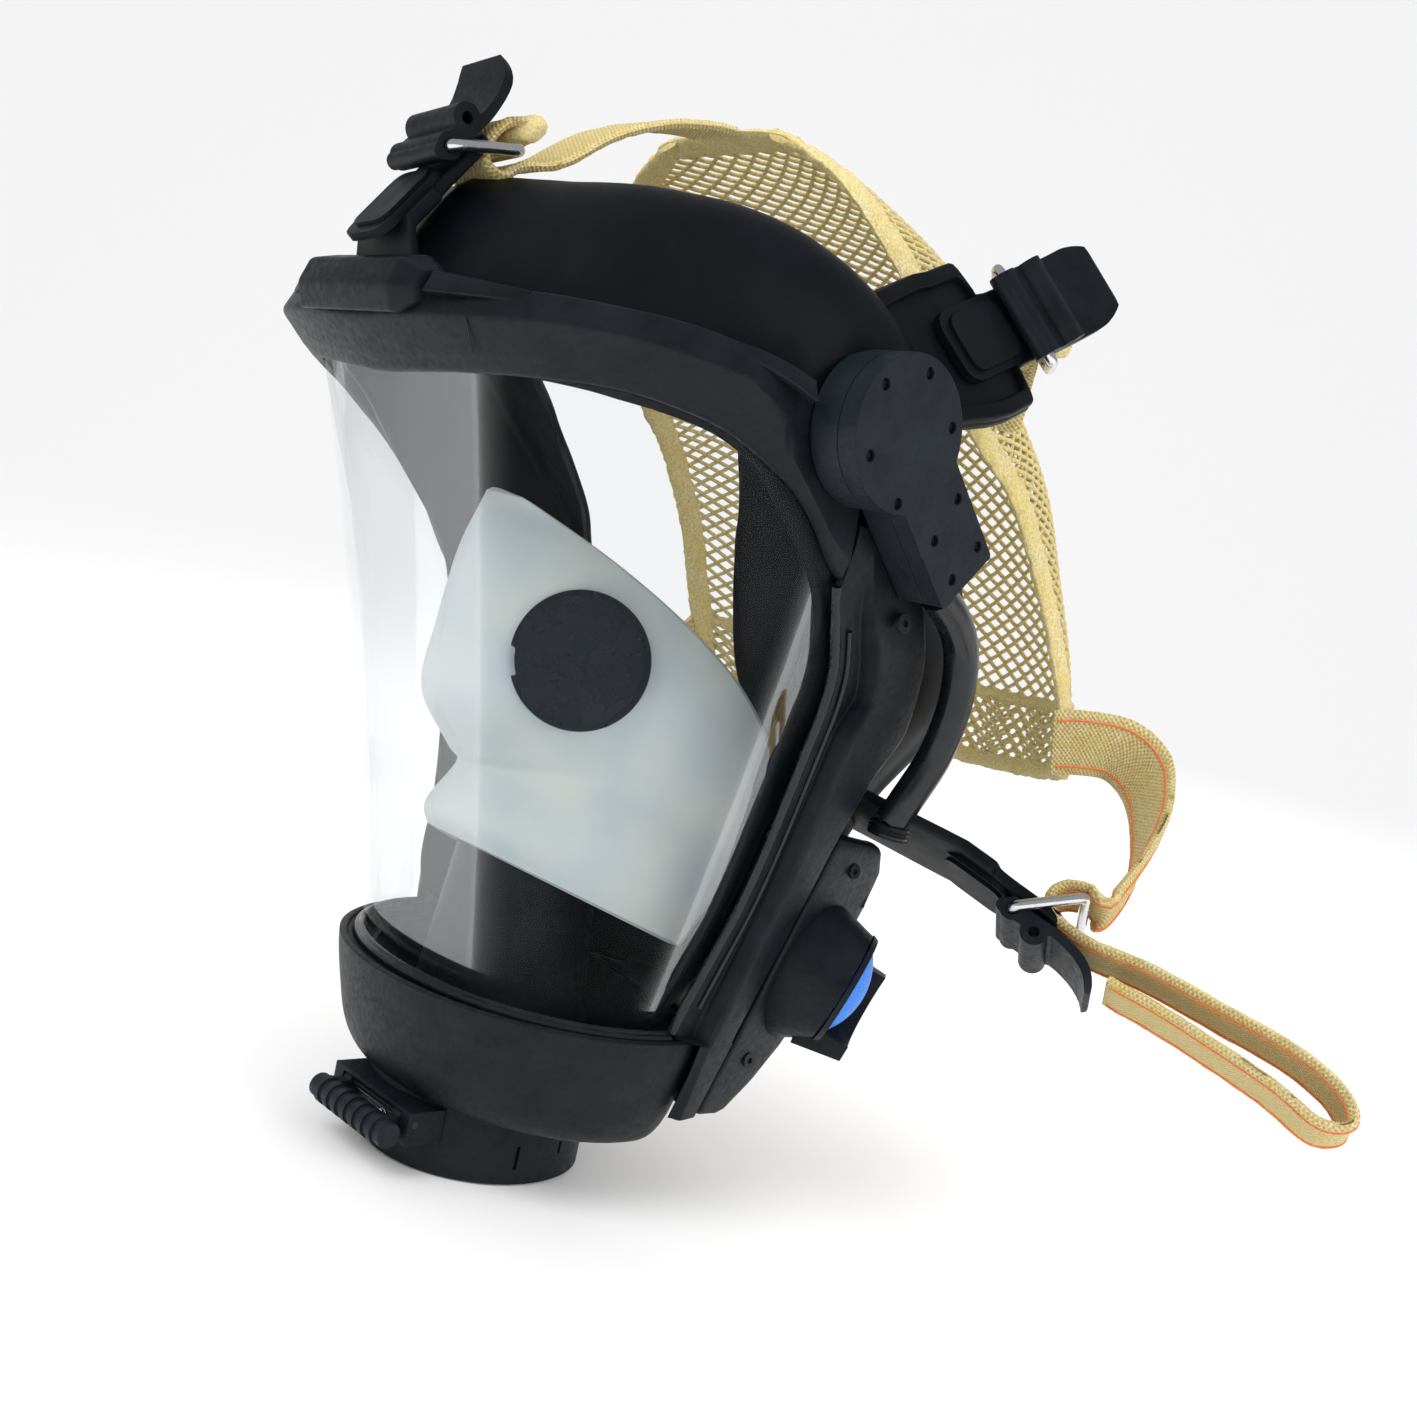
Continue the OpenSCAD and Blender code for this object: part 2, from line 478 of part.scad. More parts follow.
// ---------- strap stations: [origin, width direction, strap direction] ----------
top_frame = [[-1, -60.7, 223.8], unit([1, -0.04, 0.06]), unit([-0.02, 0.58, 0.82])];
top_base = [[0, -67.3, 198.6], [1, 0, 0], unit([0, 0.3, 0.95])];
temple_frame = [[84, 34.2, 217.9], unit([0.516, 0.447, -0.728]), unit([-0.09, 0.86, 0.5])];
temple_base = [[80, -6, 198], unit([0.3, 0.38, -0.85]), unit([0, 0.9, 0.42])];
cheek_frame = [[92.4, 79.2, 89.1], unit([-0.42, 0.755, -0.505]), unit([0.9, 0.276, -0.336])];
cheek_base = [[60, 49, 104], unit([-0.5, 0.75, -0.45]), unit([0.72, 0.66, -0.2])];
// Children in a strap frame: +X across, +Y along the strap, +Z away from the head
module at(f) {
    y = unit(f[2] - f[1] * (f[1] * f[2]));
    z = cross(f[1], y);
    multmatrix([[f[1][0], y[0], z[0], f[0][0]], [f[1][1], y[1], z[1], f[0][1]],
        [f[1][2], y[2], z[2], f[0][2]]]) children();
}
module slab(x, y, z, w, l, t, r) translate([x, y, z]) linear_extrude(t)
    offset(r) square([w - 2 * r, l - 2 * r], center = true);

// Rubber tab from its root on the seal, w wide, to its ears and the neck inside the loop
module tab(root, end, w, ears) {
    hull() {
        at(root) slab(0, 0, -1.5, w, 4, 3, 1);
        at(end) slab(0, -13, -1.5, ears, 10, 3, 3);
    }
    at(end) {
        slab(0, -3.5, -1.5, 18, 13, 3, 2);
        hull() {
            slab(0, -20, 0, 16, 6, 2.6, 2);
            slab(0, -9, 0, 18, 8, 2.6, 2);
        }
    }
}
// The rubber is grooved round every rigid piece and strap that sits in it
module face_seal() color("#15181c") difference() {
    union() {
        seal_body();
        tab(top_base, top_frame, 26, 22);
        for (s = [-1, 1]) {
            side(s) tab(temple_base, temple_frame, 26, 36);
            side(s) tab(cheek_base, cheek_frame, 26, 25);
        }
    }
    lens();
    upper_bezel();
    module_plate(83.8, 7.5) module_outline(1.2);
    forehead_strap();
    cable();
    for (s = [-1, 1]) side(s) {
        side_arm();
        cover_shell();
        temple_strap();
        cheek_strap();
    }
}

// ---------- buckles and loops ----------
pivot = [0, 5.2];
lever_tilt = 12;
lever_len = 26;
// Side outline of the lever from the pivot: under the tongue to its tip, then back over it
lever_under = [[0.6, -2.4], [3.8, -3.1], [7, -3.9], [11, -4.8], [15, -5.1], [19, -5], [22.4, -4.1],
    [25, -2.3], [lever_len, -0.6]];
lever_over = [[25, 0.1], [22.4, -1.7], [19, -2.7], [15, -2.9], [11, -2.4], [9, -1], [4, 1.2], [0, 2]];
drum = [7.5, -0.1];
module lever_profile() difference() {
    union() {
        circle(r = 2.9, $fn = 32);
        translate([-1.9, 0.8]) circle(r = 1.9, $fn = 32);
        translate(drum) circle(r = 3.3, $fn = 32);
        polygon(concat(smooth_list(lever_under, 2), smooth_list(lever_over, 2)));
    }
    circle(r = wire_r + 0.15, $fn = 32);
    translate(drum) circle(r = 1.3, $fn = 32);
}
// Rounded outline of the tongue seen from above
module lever_plan() {
    w = buckle_w / 2;
    r = 6.5;
    translate([-w, -6]) square([2 * w, 6 + lever_len - r + 0.4]);
    translate([-(w - r), 0]) square([2 * (w - r), lever_len + 0.4]);
    for (x = [-1, 1]) translate([x * (w - r), lever_len - r + 0.4]) circle(r = r, $fn = 48);
}
module buckle() color("#23282d") translate([0, pivot[0], pivot[1]]) rotate([lever_tilt, 0, 0])
    intersection() {
        rotate([90, 0, 90]) translate([0, 0, -buckle_w / 2]) linear_extrude(buckle_w) lever_profile();
        translate([0, 0, -10]) linear_extrude(20) lever_plan();
    }
// Wire loop hinged in the hook; a is its angle below the strap direction, d its reach
module wire_loop(a, d) color("gainsboro") translate([0, pivot[0], pivot[1]]) rotate([-a, 0, 0]) {
    hw = buckle_w / 2 + wire_r + 0.25;
    c = 1.6;
    for (y = [0, d])
        translate([-(hw - c), y, 0]) rotate([0, 90, 0]) cylinder(r = wire_r, h = 2 * (hw - c));
    for (s = [-1, 1]) {
        translate([s * hw, c, 0]) rotate([-90, 0, 0]) cylinder(r = wire_r, h = d - 2 * c);
        for (e = [0, 1])
            translate([s * (hw - c), e ? d - c : c, 0])
                rotate([0, 0, s > 0 ? (e ? 0 : -90) : (e ? 90 : 180)])
                    rotate_extrude(angle = 90) translate([c, 0]) circle(r = wire_r, $fn = 32);
    }
}
steep = 46;
shallow = 40;
reach = 17;
module buckle_top() at(top_frame) buckle();
module buckle_temple_left() at(temple_frame) buckle();
module buckle_temple_right() side(-1) at(temple_frame) buckle();
module buckle_cheek_left() at(cheek_frame) buckle();
module buckle_cheek_right() side(-1) at(cheek_frame) buckle();
module loop_top() at(top_frame) wire_loop(shallow, reach);
module loop_temple_left() at(temple_frame) wire_loop(shallow, reach);
module loop_temple_right() side(-1) at(temple_frame) wire_loop(shallow, reach);
module loop_cheek_left() at(cheek_frame) wire_loop(steep, reach);
module loop_cheek_right() side(-1) at(cheek_frame) wire_loop(steep, reach);

// ---------- head net: rows from the nape to the crown, [left edge, middle] ----------
net_rows = [[[72.5, 112, 120], [0, 134, 113]], [[72.5, 106, 134], [0, 137, 129]],
    [[71, 98, 149], [0, 138, 148]], [[68.5, 88, 166], [0, 134, 167]],
    [[66, 72.5, 185], [0, 124, 196]], [[62, 56, 198], [0, 107, 219]],
    [[55, 33, 224], [0, 81, 241]], [[40, 20, 245], [0, 47, 252]], [[24, 14.5, 255], [0, 14, 258]]];
net_fine = [for (t = [0 : 0.5 : 8])
    [spline([for (r = net_rows) r[0]], t), spline([for (r = net_rows) r[1]], t)]];
function net_pt(row, u) = let (e = row[0], c = row[1], a = 90 * u)
    [e[0] * sin(a), mix(c[1], e[1], 1 - cos(a)), mix(c[2], e[2], 1 - cos(a))];
function net_grid(off) = let (n = len(net_fine), k = 12)
    [for (i = [0 : n - 1]) [for (j = [-k : k])
        let (p = net_pt(net_fine[i], j / k),
            du = net_pt(net_fine[i], min(j / k + 0.02, 1)) - net_pt(net_fine[i], max(j / k - 0.02, -1)),
            dv = net_pt(net_fine[min(i + 1, n - 1)], j / k) - net_pt(net_fine[max(i - 1, 0)], j / k))
        p + off * unit(cross(dv, du))]];
module head_net() color("khaki") sheet(net_grid(net_t / 2), net_grid(-net_t / 2));
module net_binding() color("gold") {
    for (s = [-1, 1])
        side(s) bar([for (r = net_fine) r[0] + [1.6, -1.4, 0.4]], 1.1, 6);
}

// ---------- straps ----------
// Point of a strap frame, y along the strap and z away from the head
function in_frame(f, y, z) = let (d = unit(f[2] - f[1] * (f[1] * f[2]))) f[0] + y * d + z * cross(f[1], d);
// From the free end behind the lever, through the loop and round its bar
function threaded(f) = [for (p = [[20.5, -3.4], [16, -0.6], [10, -0.6], [6.4, -3.6], [7.8, -7.8], [13, -9.4]])
    [in_frame(f, p[0], p[1]), f[1]]];
module strap(stations, m) {
    n = m * (len(stations) - 1);
    c = [for (s = stations) s[0]];
    w = [for (s = stations) s[1]];
    ribbon([for (i = [0 : n]) [spline(c, i / m), spline(w, i / m)]], strap_w, strap_t);
}
module forehead_strap() color("khaki") strap(concat(threaded(top_frame),
    [for (p = [[-36, 233.5], [-23, 244], [-9, 251.5], [4, 255.6], [12, 257]]) [[0, p[0], p[1]], [1, 0, 0]]]), 3);
module temple_strap() strap(concat(threaded(temple_frame), [[[69.5, 52.5, 211], unit([0.5, 0.46, -0.73])],
    [[66.5, 54.5, 200], unit([0.5, 0.48, -0.72])]]), 3);
module temple_strap_left() color("khaki") temple_strap();
module temple_strap_right() color("khaki") side(-1) temple_strap();
// From the net's lower corner round to the loop, out to the pull end and back under the lever
cheek_world = [[[76.6, 112, 129], [-0.2, 0.1, -0.9]], [[84, 119, 129], [-0.3, 0.1, -0.9]],
    [[92, 121, 123.5], [-0.4, 0.3, -0.8]], [[99.5, 115, 113.5], [-0.42, 0.5, -0.7]],
    [[105, 104.5, 102.5], [-0.42, 0.65, -0.6]]];
cheek_local = [[15.5, -11.4], [10.6, -11], [6, -8.8], [4.2, -4.8], [6.6, -1.2], [12, 0.1], [20, -0.4],
    [32, -3.6], [50, -6], [68, -8], [80, -6.5], [85, -2], [80, 2.4], [68, 1.6], [52, 2.2], [40, 3], [31, 5]];
module cheek_strap() strap(concat(cheek_world,
    [for (p = cheek_local) [in_frame(cheek_frame, p[0], p[1]), cheek_frame[1]]]), 3);
module cheek_strap_left() color("khaki") cheek_strap();
module cheek_strap_right() color("khaki") side(-1) cheek_strap();

// ---------- electronics module at the temple ----------
mod_c = [-3.8, 187];
mod_e = [21.6, 164];
module module_outline(grow) offset(grow) offset(-2) offset(2) {
    translate(mod_c) circle(r = 15);
    hull() {
        translate(mod_e) rotate(-42) square([6, 16], center = true);
        translate(mod_c) rotate(-42) square([6, 16], center = true);
    }
}
module module_plate(x, t) translate([x, 0, 0]) rotate([90, 0, 90]) linear_extrude(t) children();
module module_back() color("#2b3238") difference() {
    module_plate(84, 7.1) module_outline(1);
    module_plate(86.5, 6) module_outline(-1);
}
module module_front() color("#2b3238") difference() {
    module_plate(91.3, 4.7) module_outline(1);
    module_plate(91, 3) module_outline(-1);
    for (p = module_holes)
        translate([93.4, p[0], p[1]]) rotate([0, 90, 0]) cylinder(r = 1.25, h = 4);
}
module_holes = [[-14, 194.6], [-2, 199.6], [8.4, 191], [-14, 180.6], [-3, 173.2], [15.2, 177.6],
    [10.8, 168], [25.2, 169.2], [19.2, 161.2]];
module module_screws() color("#111")
    for (p = module_holes) translate([93.6, p[0], p[1]]) rotate([0, 90, 0]) cylinder(r = 1.1, h = 1.4);
module module_board() color("darkgreen") module_plate(89.2, 1.2) module_outline(-2);

cable_path = [[89, 24.5, 157.5], [88, 33, 153], [86, 41, 146], [84, 45.5, 135], [81, 46.5, 122],
    [77.5, 44, 110], [75.5, 43, 104.5]];
module cable() color("#14171a") bar(smooth_list(cable_path, 3), 4, 10);
module cable_boots() color("#14171a") {
    aim([75.6, 43, 103.9], [-0.1, -0.05, -1]) cylinder(r = 5, h = 3);
}

lens();
upper_bezel();
lower_bezel();
side_arm_left();
side_arm_right();
bezel_screws();
face_seal();
nose_cup();
nose_cup_adapter();
valve_seat_left();
valve_seat_right();
inhalation_flap_left();
inhalation_flap_right();
port_collar();
port_gasket();
port_latch();
latch_pin();
latch_spring();
amp_cover();
amp_board();
amp_speaker();
amp_battery();
amp_screws();
button_guard();
button_housing();
power_button();
button_spring();
service_plug();
voice_cover_right();
voice_diaphragm();
voice_retainer();
cable();
cable_boots();
module_back();
module_front();
module_screws();
module_board();
buckle_top();
buckle_temple_left();
buckle_temple_right();
buckle_cheek_left();
buckle_cheek_right();
loop_top();
loop_temple_left();
loop_temple_right();
loop_cheek_left();
loop_cheek_right();
head_net();
net_binding();
forehead_strap();
temple_strap_left();
temple_strap_right();
cheek_strap_left();
cheek_strap_right();
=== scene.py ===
"""Looks of a full face respirator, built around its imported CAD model. Lengths are millimetres until a mesh is made."""

import math

import bmesh
import bpy
import numpy as np
from mathutils import Matrix, Vector, noise


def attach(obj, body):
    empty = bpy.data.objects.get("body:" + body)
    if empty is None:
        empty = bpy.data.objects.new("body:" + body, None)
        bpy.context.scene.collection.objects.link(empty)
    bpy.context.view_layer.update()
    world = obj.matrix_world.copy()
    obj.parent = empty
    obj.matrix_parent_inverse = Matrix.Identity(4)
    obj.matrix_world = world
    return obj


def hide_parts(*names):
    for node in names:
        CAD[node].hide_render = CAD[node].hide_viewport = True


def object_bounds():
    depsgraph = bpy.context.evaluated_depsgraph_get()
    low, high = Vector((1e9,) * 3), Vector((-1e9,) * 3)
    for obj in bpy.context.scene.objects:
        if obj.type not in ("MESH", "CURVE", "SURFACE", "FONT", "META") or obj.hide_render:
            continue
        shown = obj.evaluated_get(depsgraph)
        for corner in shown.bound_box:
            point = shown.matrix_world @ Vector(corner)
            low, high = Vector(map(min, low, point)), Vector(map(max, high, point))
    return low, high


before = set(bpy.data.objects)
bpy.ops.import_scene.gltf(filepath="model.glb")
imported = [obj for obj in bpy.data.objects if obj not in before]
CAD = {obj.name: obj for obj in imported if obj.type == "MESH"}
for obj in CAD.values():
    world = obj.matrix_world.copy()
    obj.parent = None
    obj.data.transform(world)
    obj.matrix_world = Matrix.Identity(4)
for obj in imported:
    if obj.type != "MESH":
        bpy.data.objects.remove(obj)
cad_low, cad_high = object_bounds()
MM = 0.001


# ---------- vectors and curves ----------
def vec(*p):
    return np.array(p[0] if len(p) == 1 else p, float)


def unit(v):
    v = vec(v)
    return v / max(np.linalg.norm(v), 1e-12)


def mix(a, b, t):
    return a + (b - a) * t


def lookup(x, table):
    return float(np.interp(x, [row[0] for row in table], [row[1] for row in table]))


def spline(points, t):
    """Point of a smooth curve through the list, where t runs from 0 to its length less one."""
    points = np.asarray(points, float)
    last = len(points) - 1
    i = min(int(math.floor(t)), last - 1)
    f = t - i
    a, b, c, d = (points[j] for j in (max(i - 1, 0), i, i + 1, min(i + 2, last)))
    return 0.5 * (2 * b + (c - a) * f + (2 * a - 5 * b + 4 * c - d) * f**2 + (3 * b - a - 3 * c + d) * f**3)


def refine(points, steps):
    return np.array([spline(points, i / steps) for i in range(steps * (len(points) - 1) + 1)])


def rounded(points, radius, steps=3, closed=True):
    """The outline with each corner eased over a length radius, one number or one for each corner."""
    points = np.asarray(points, float)
    n = len(points)
    out = []
    for i, p in enumerate(points):
        if not closed and i in (0, n - 1):
            out.append(p)
            continue
        to_a, to_b = points[i - 1] - p, points[(i + 1) % n] - p
        la, lb = np.linalg.norm(to_a), np.linalg.norm(to_b)
        r = min(radius if np.isscalar(radius) else radius[i], 0.45 * la, 0.45 * lb)
        a, b = p + to_a / max(la, 1e-9) * r, p + to_b / max(lb, 1e-9) * r
        for k in range(steps + 1):
            t = k / steps
            out.append((1 - t) ** 2 * a + 2 * t * (1 - t) * p + t * t * b)
    return np.array(out)


# ---------- the lens surface, as in the CAD ----------
LENS_Z, LENS_H, BASE_HW, TOP_HW, LENS_T = 45.7, 135.0, 52.2, 84.5, 2.5
GAP, DEPTH, TURN = 0.3, 0.78, 98.0


def half_w(z):
    return BASE_HW + (TOP_HW - BASE_HW) * (z - LENS_Z) / LENS_H


def mid_y(z):
    t = (z - LENS_Z) / LENS_H
    return 10.2 - 8.84 * t + 8.56 * t * (1 - t)


def on_lens(a, z, off):
    """Point at angle a from the front, in degrees, height z and distance off outside the lens."""
    w, d, m = half_w(z) + off, DEPTH * half_w(z) + off, min(abs(a), TURN)
    run, r, s = math.radians(abs(a) - m) * w, math.radians(m), -1 if a < 0 else 1
    t = unit([w * math.cos(r), d * math.sin(r)])
    return vec(s * (w * math.sin(r) + run * t[0]), mid_y(z) - d * math.cos(r) + run * t[1], z)


def on_side(y, z, off):
    """Point on the left side at depth y, where the surface runs straight back past the turn."""
    w, d = half_w(z) + off, DEPTH * half_w(z) + off
    k, c = (y - mid_y(z)) / d, math.cos(math.radians(TURN))
    if k < -c:
        return vec(w * math.sqrt(max(0, 1 - k * k)), y, z)
    return vec(w * math.sin(math.radians(TURN)) + c * w / d * (y - mid_y(z) + d * c), y, z)


EDGE = [[43, 88], [58, 90.4], [83, 97], [101, 98], [136, 98.5], [147, 91.5], [163, 81.5], [171, 75.7], [181, 64], [188, 57]]


def edge_a(z):
    return lookup(z, EDGE)


# ---------- meshes ----------
def turn_outward(mesh):
    bm = bmesh.new()
    bm.from_mesh(mesh)
    bmesh.ops.recalc_face_normals(bm, faces=bm.faces)
    if bm.calc_volume(signed=True) < 0:
        bmesh.ops.reverse_faces(bm, faces=bm.faces)
    bm.to_mesh(mesh)
    bm.free()


def shade(mesh, angle):
    mesh.shade_smooth()
    mesh.set_sharp_from_angle(angle=math.radians(angle))


def piece(name, verts, faces, material, slot, body="mask", stands_for=(), angle=38, uv=None, level=0):
    """A finished piece of the object from points in millimetres."""
    mesh = bpy.data.meshes.new(name)
    mesh.from_pydata((np.asarray(verts, float) * MM).tolist(), [], faces)
    if uv is not None:
        layer = mesh.uv_layers.new(name="UVMap")
        index = np.zeros(len(mesh.loops), np.int32)
        mesh.loops.foreach_get("vertex_index", index)
        layer.data.foreach_set("uv", np.asarray(uv, np.float32)[index].ravel())
    turn_outward(mesh)
    shade(mesh, angle)
    obj = bpy.data.objects.new(name, mesh)
    bpy.context.scene.collection.objects.link(obj)
    if level:
        bevel = obj.modifiers.new("edges", "BEVEL")
        bevel.width, bevel.segments, bevel.limit_method = level * MM, 3, "ANGLE"
        bevel.angle_limit = math.radians(35)
    obj.data.materials.append(material)
    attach(obj, body)
    if stands_for:
        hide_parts(*stands_for)
    return obj


def grid_faces(rows, cols, wrap_rows=False, wrap_cols=False, start=0):
    faces = []
    for i in range(rows if wrap_rows else rows - 1):
        for j in range(cols if wrap_cols else cols - 1):
            k, m = (j + 1) % cols, (i + 1) % rows
            faces.append((start + i * cols + j, start + i * cols + k, start + m * cols + k, start + m * cols + j))
    return faces


def loft(rings, wrap=False):
    """Solid through a list of rings of the same count: points and faces."""
    rings = np.asarray(rings, float)
    r, n = rings.shape[:2]
    faces = grid_faces(r, n, wrap, True)
    if not wrap:
        faces += [tuple(range(n))[::-1], tuple((r - 1) * n + j for j in range(n))]
    return rings.reshape(-1, 3), faces


def shell(outer, inner, round_rim=0.0, wrap_rows=False):
    """Closed sheet between two grids of points; round_rim pushes the middle of its rims out."""
    outer, inner = np.asarray(outer, float), np.asarray(inner, float)
    r, c = outer.shape[:2]
    n = r * c
    verts = [outer.reshape(-1, 3), inner.reshape(-1, 3)]
    faces = grid_faces(r, c, wrap_rows) + [f[::-1] for f in grid_faces(r, c, wrap_rows, start=n)]
    if wrap_rows:
        rims = [([i * c + j for i in range(r)], [i * c + (1 if j == 0 else c - 2) for i in range(r)]) for j in (0, c - 1)]
    else:
        loop = (
            [(0, j) for j in range(c)]
            + [(i, c - 1) for i in range(1, r)]
            + [(r - 1, j) for j in range(c - 2, -1, -1)]
            + [(i, 0) for i in range(r - 2, 0, -1)]
        )
        near = [(min(max(i, 1), r - 2), min(max(j, 1), c - 2)) for i, j in loop]
        rims = [([i * c + j for i, j in loop], [i * c + j for i, j in near])]
    flat = np.concatenate(verts)
    count = len(flat)
    for loop, near in rims:
        a, b, q = flat[loop], flat[[k + n for k in loop]], flat[near]
        out = a - q
        out /= np.maximum(np.linalg.norm(out, axis=1), 1e-9)[:, None]
        middle = (a + b) / 2 + out * round_rim
        ids = list(range(count, count + len(loop)))
        count += len(loop)
        verts.append(middle)
        for k in range(len(loop)):
            m = (k + 1) % len(loop)
            faces.append((loop[k], loop[m], ids[m], ids[k]))
            faces.append((ids[k], ids[m], loop[m] + n, loop[k] + n))
    return np.concatenate(verts), faces


def normals_of(grid, wrap_rows=False):
    grid = np.asarray(grid, float)
    du = np.roll(grid, -1, 0) - np.roll(grid, 1, 0)
    if not wrap_rows:
        du[0], du[-1] = grid[1] - grid[0], grid[-1] - grid[-2]
    dv = np.gradient(grid, axis=1)
    n = np.cross(dv, du)
    return n / np.maximum(np.linalg.norm(n, axis=2), 1e-9)[:, :, None]


def tube(path, radius, sides=12, squash=1.0):
    """Round bar along a path; radius is one number or one for each point."""
    path = np.asarray(path, float)
    radii = np.full(len(path), radius) if np.isscalar(radius) else np.asarray(radius, float)
    d = np.gradient(path, axis=0)
    d /= np.maximum(np.linalg.norm(d, axis=1), 1e-9)[:, None]
    u = unit(np.cross(d[0], [0.31, 0.2, 0.93]))
    rings = []
    for p, t, r in zip(path, d, radii):
        u = unit(u - t * np.dot(u, t))
        v = np.cross(t, u)
        rings.append([p + r * (math.cos(q) * u + squash * math.sin(q) * v) for q in np.linspace(0, 2 * math.pi, sides, False)])
    return loft(rings)


def join(parts):
    """Several (points, faces) pairs as one."""
    verts, faces, count = [], [], 0
    for v, f in parts:
        verts.append(np.asarray(v, float).reshape(-1, 3))
        faces += [tuple(k + count for k in face) for face in f]
        count += len(verts[-1])
    return np.concatenate(verts), faces


def mirrored(shape):
    return shape[0] * [-1, 1, 1], [f[::-1] for f in shape[1]]


def prism(outline, z0, z1, matrix=None):
    """Outline in x and y, from z0 to z1, moved by a matrix given as (origin, x, y, z)."""
    flat = np.asarray(outline, float)
    verts = np.concatenate([np.c_[flat, np.full(len(flat), z)] for z in (z0, z1)])
    n = len(flat)
    faces = [tuple(range(n))[::-1], tuple(range(n, 2 * n))] + [(j, (j + 1) % n, n + (j + 1) % n, n + j) for j in range(n)]
    return (place(verts, matrix) if matrix is not None else verts), faces


def place(points, f):
    o, x, y, z = f
    points = np.asarray(points, float)
    return o + points[:, :1] * x + points[:, 1:2] * y + points[:, 2:] * z


def axes(f):
    """(origin, x, y, z) of a strap frame: +x across, +y along the strap, +z away from the head."""
    o, w, d = (vec(v) for v in f)
    y = unit(d - w * np.dot(w, d))
    return o, w, y, np.cross(w, y)


def aimed(p, d):
    """(origin, x, y, z) with z turned to direction d, as the CAD turns it."""
    d = unit(d)
    t, a = math.acos(d[2]), math.atan2(d[1], d[0])
    x = vec(math.cos(t) * math.cos(a), math.cos(t) * math.sin(a), -math.sin(t))
    return vec(p), x, np.cross(d, x), d


def box_outline(cx, cy, w, h, r, steps=4):
    corners = [(cx - w / 2, cy - h / 2), (cx + w / 2, cy - h / 2), (cx + w / 2, cy + h / 2), (cx - w / 2, cy + h / 2)]
    return rounded(corners, r * 1.2, steps)


def cut(obj, cutters):
    """Takes closed shapes out of obj."""
    for shape in cutters:
        mesh = bpy.data.meshes.new("cutter")
        mesh.from_pydata((np.asarray(shape[0]) * MM).tolist(), [], shape[1])
        turn_outward(mesh)
        tool = bpy.data.objects.new("cutter", mesh)
        bpy.context.scene.collection.objects.link(tool)
        tool.hide_render = True
        change = obj.modifiers.new("cut", "BOOLEAN")
        change.operation, change.solver, change.object = "DIFFERENCE", "MANIFOLD", tool
        made = bpy.data.meshes.new_from_object(obj.evaluated_get(bpy.context.evaluated_depsgraph_get()))
        obj.modifiers.clear()
        obj.data = made
        bpy.data.objects.remove(tool)
    shade(obj.data, 38)
    return obj


def ruffle(obj, amount, size, seed=0.0):
    """Moves each point along its normal by smooth random amounts, in millimetres."""
    mesh = obj.data
    shift = Vector((seed, seed * 1.7, -seed))
    for v in mesh.vertices:
        k = noise.noise(v.co / (size * MM) + shift)
        k += 0.5 * noise.noise(v.co / (size * 0.4 * MM) - shift)
        v.co += v.normal * (k * amount * MM)


# ---------- materials ----------
def colour(text):
    c = [int(text[i : i + 2], 16) / 255 for i in (1, 3, 5)]
    return tuple(x / 12.92 if x < 0.04045 else ((x + 0.055) / 1.055) ** 2.4 for x in c) + (1,)


class Finish:
    """A procedural material being put together."""

    def __init__(self, name, **values):
        self.mat = bpy.data.materials.new(name)
        self.mat.use_nodes = True
        self.tree = self.mat.node_tree
        self.bsdf = self.tree.nodes["Principled BSDF"]
        self.out = self.tree.nodes["Material Output"]
        self.where = self.add("TexCoord").outputs["Object"]
        for key, value in values.items():
            self.put(self.bsdf.inputs[key.replace("_", " ")], value)

    def put(self, socket, value):
        if isinstance(value, bpy.types.Node):
            value = value.outputs[0]
        if isinstance(value, bpy.types.NodeSocket):
            self.tree.links.new(value, socket)
        else:
            socket.default_value = value

    def add(self, kind, *args, **values):
        node = self.tree.nodes.new("ShaderNode" + kind)
        for key, value in values.items():
            if key in node.bl_rna.properties:
                setattr(node, key, value)
            else:
                self.put(node.inputs[key], value)
        for i, value in enumerate(args):
            self.put(node.inputs[i], value)
        return node

    def grain(self, size, detail=2.0, rough=0.55):
        """Noise with features of about size millimetres."""
        return self.add("TexNoise", Vector=self.where, Scale=1000 / size, Detail=detail, Roughness=rough)

    def fit(self, value, low, high, to_low=0.0, to_high=1.0):
        return self.add("MapRange", value, low, high, to_low, to_high)

    def blend(self, share, a, b):
        node = self.add("Mix", data_type="RGBA")
        self.put(node.inputs["Factor"], share)
        self.put(node.inputs["A"], a)
        self.put(node.inputs["B"], b)
        return node.outputs["Result"]

    def math(self, operation, *args):
        return self.add("Math", *args, operation=operation).outputs[0]

    def facing_up(self):
        normal = self.add("NewGeometry").outputs["Normal"]
        return self.add("SeparateXYZ", normal).outputs["Z"]

    def bump(self, height, depth, edge=0.0):
        """Bump of a height in 0 to 1, depth millimetres deep, over edges eased by edge millimetres."""
        node = self.add("Bump", Strength=1.0, Distance=depth * MM, Height=height)
        if edge:
            self.put(node.inputs["Normal"], self.add("Bevel", samples=4, Radius=edge * MM).outputs[0])
        self.put(self.bsdf.inputs["Normal"], node)
        return node


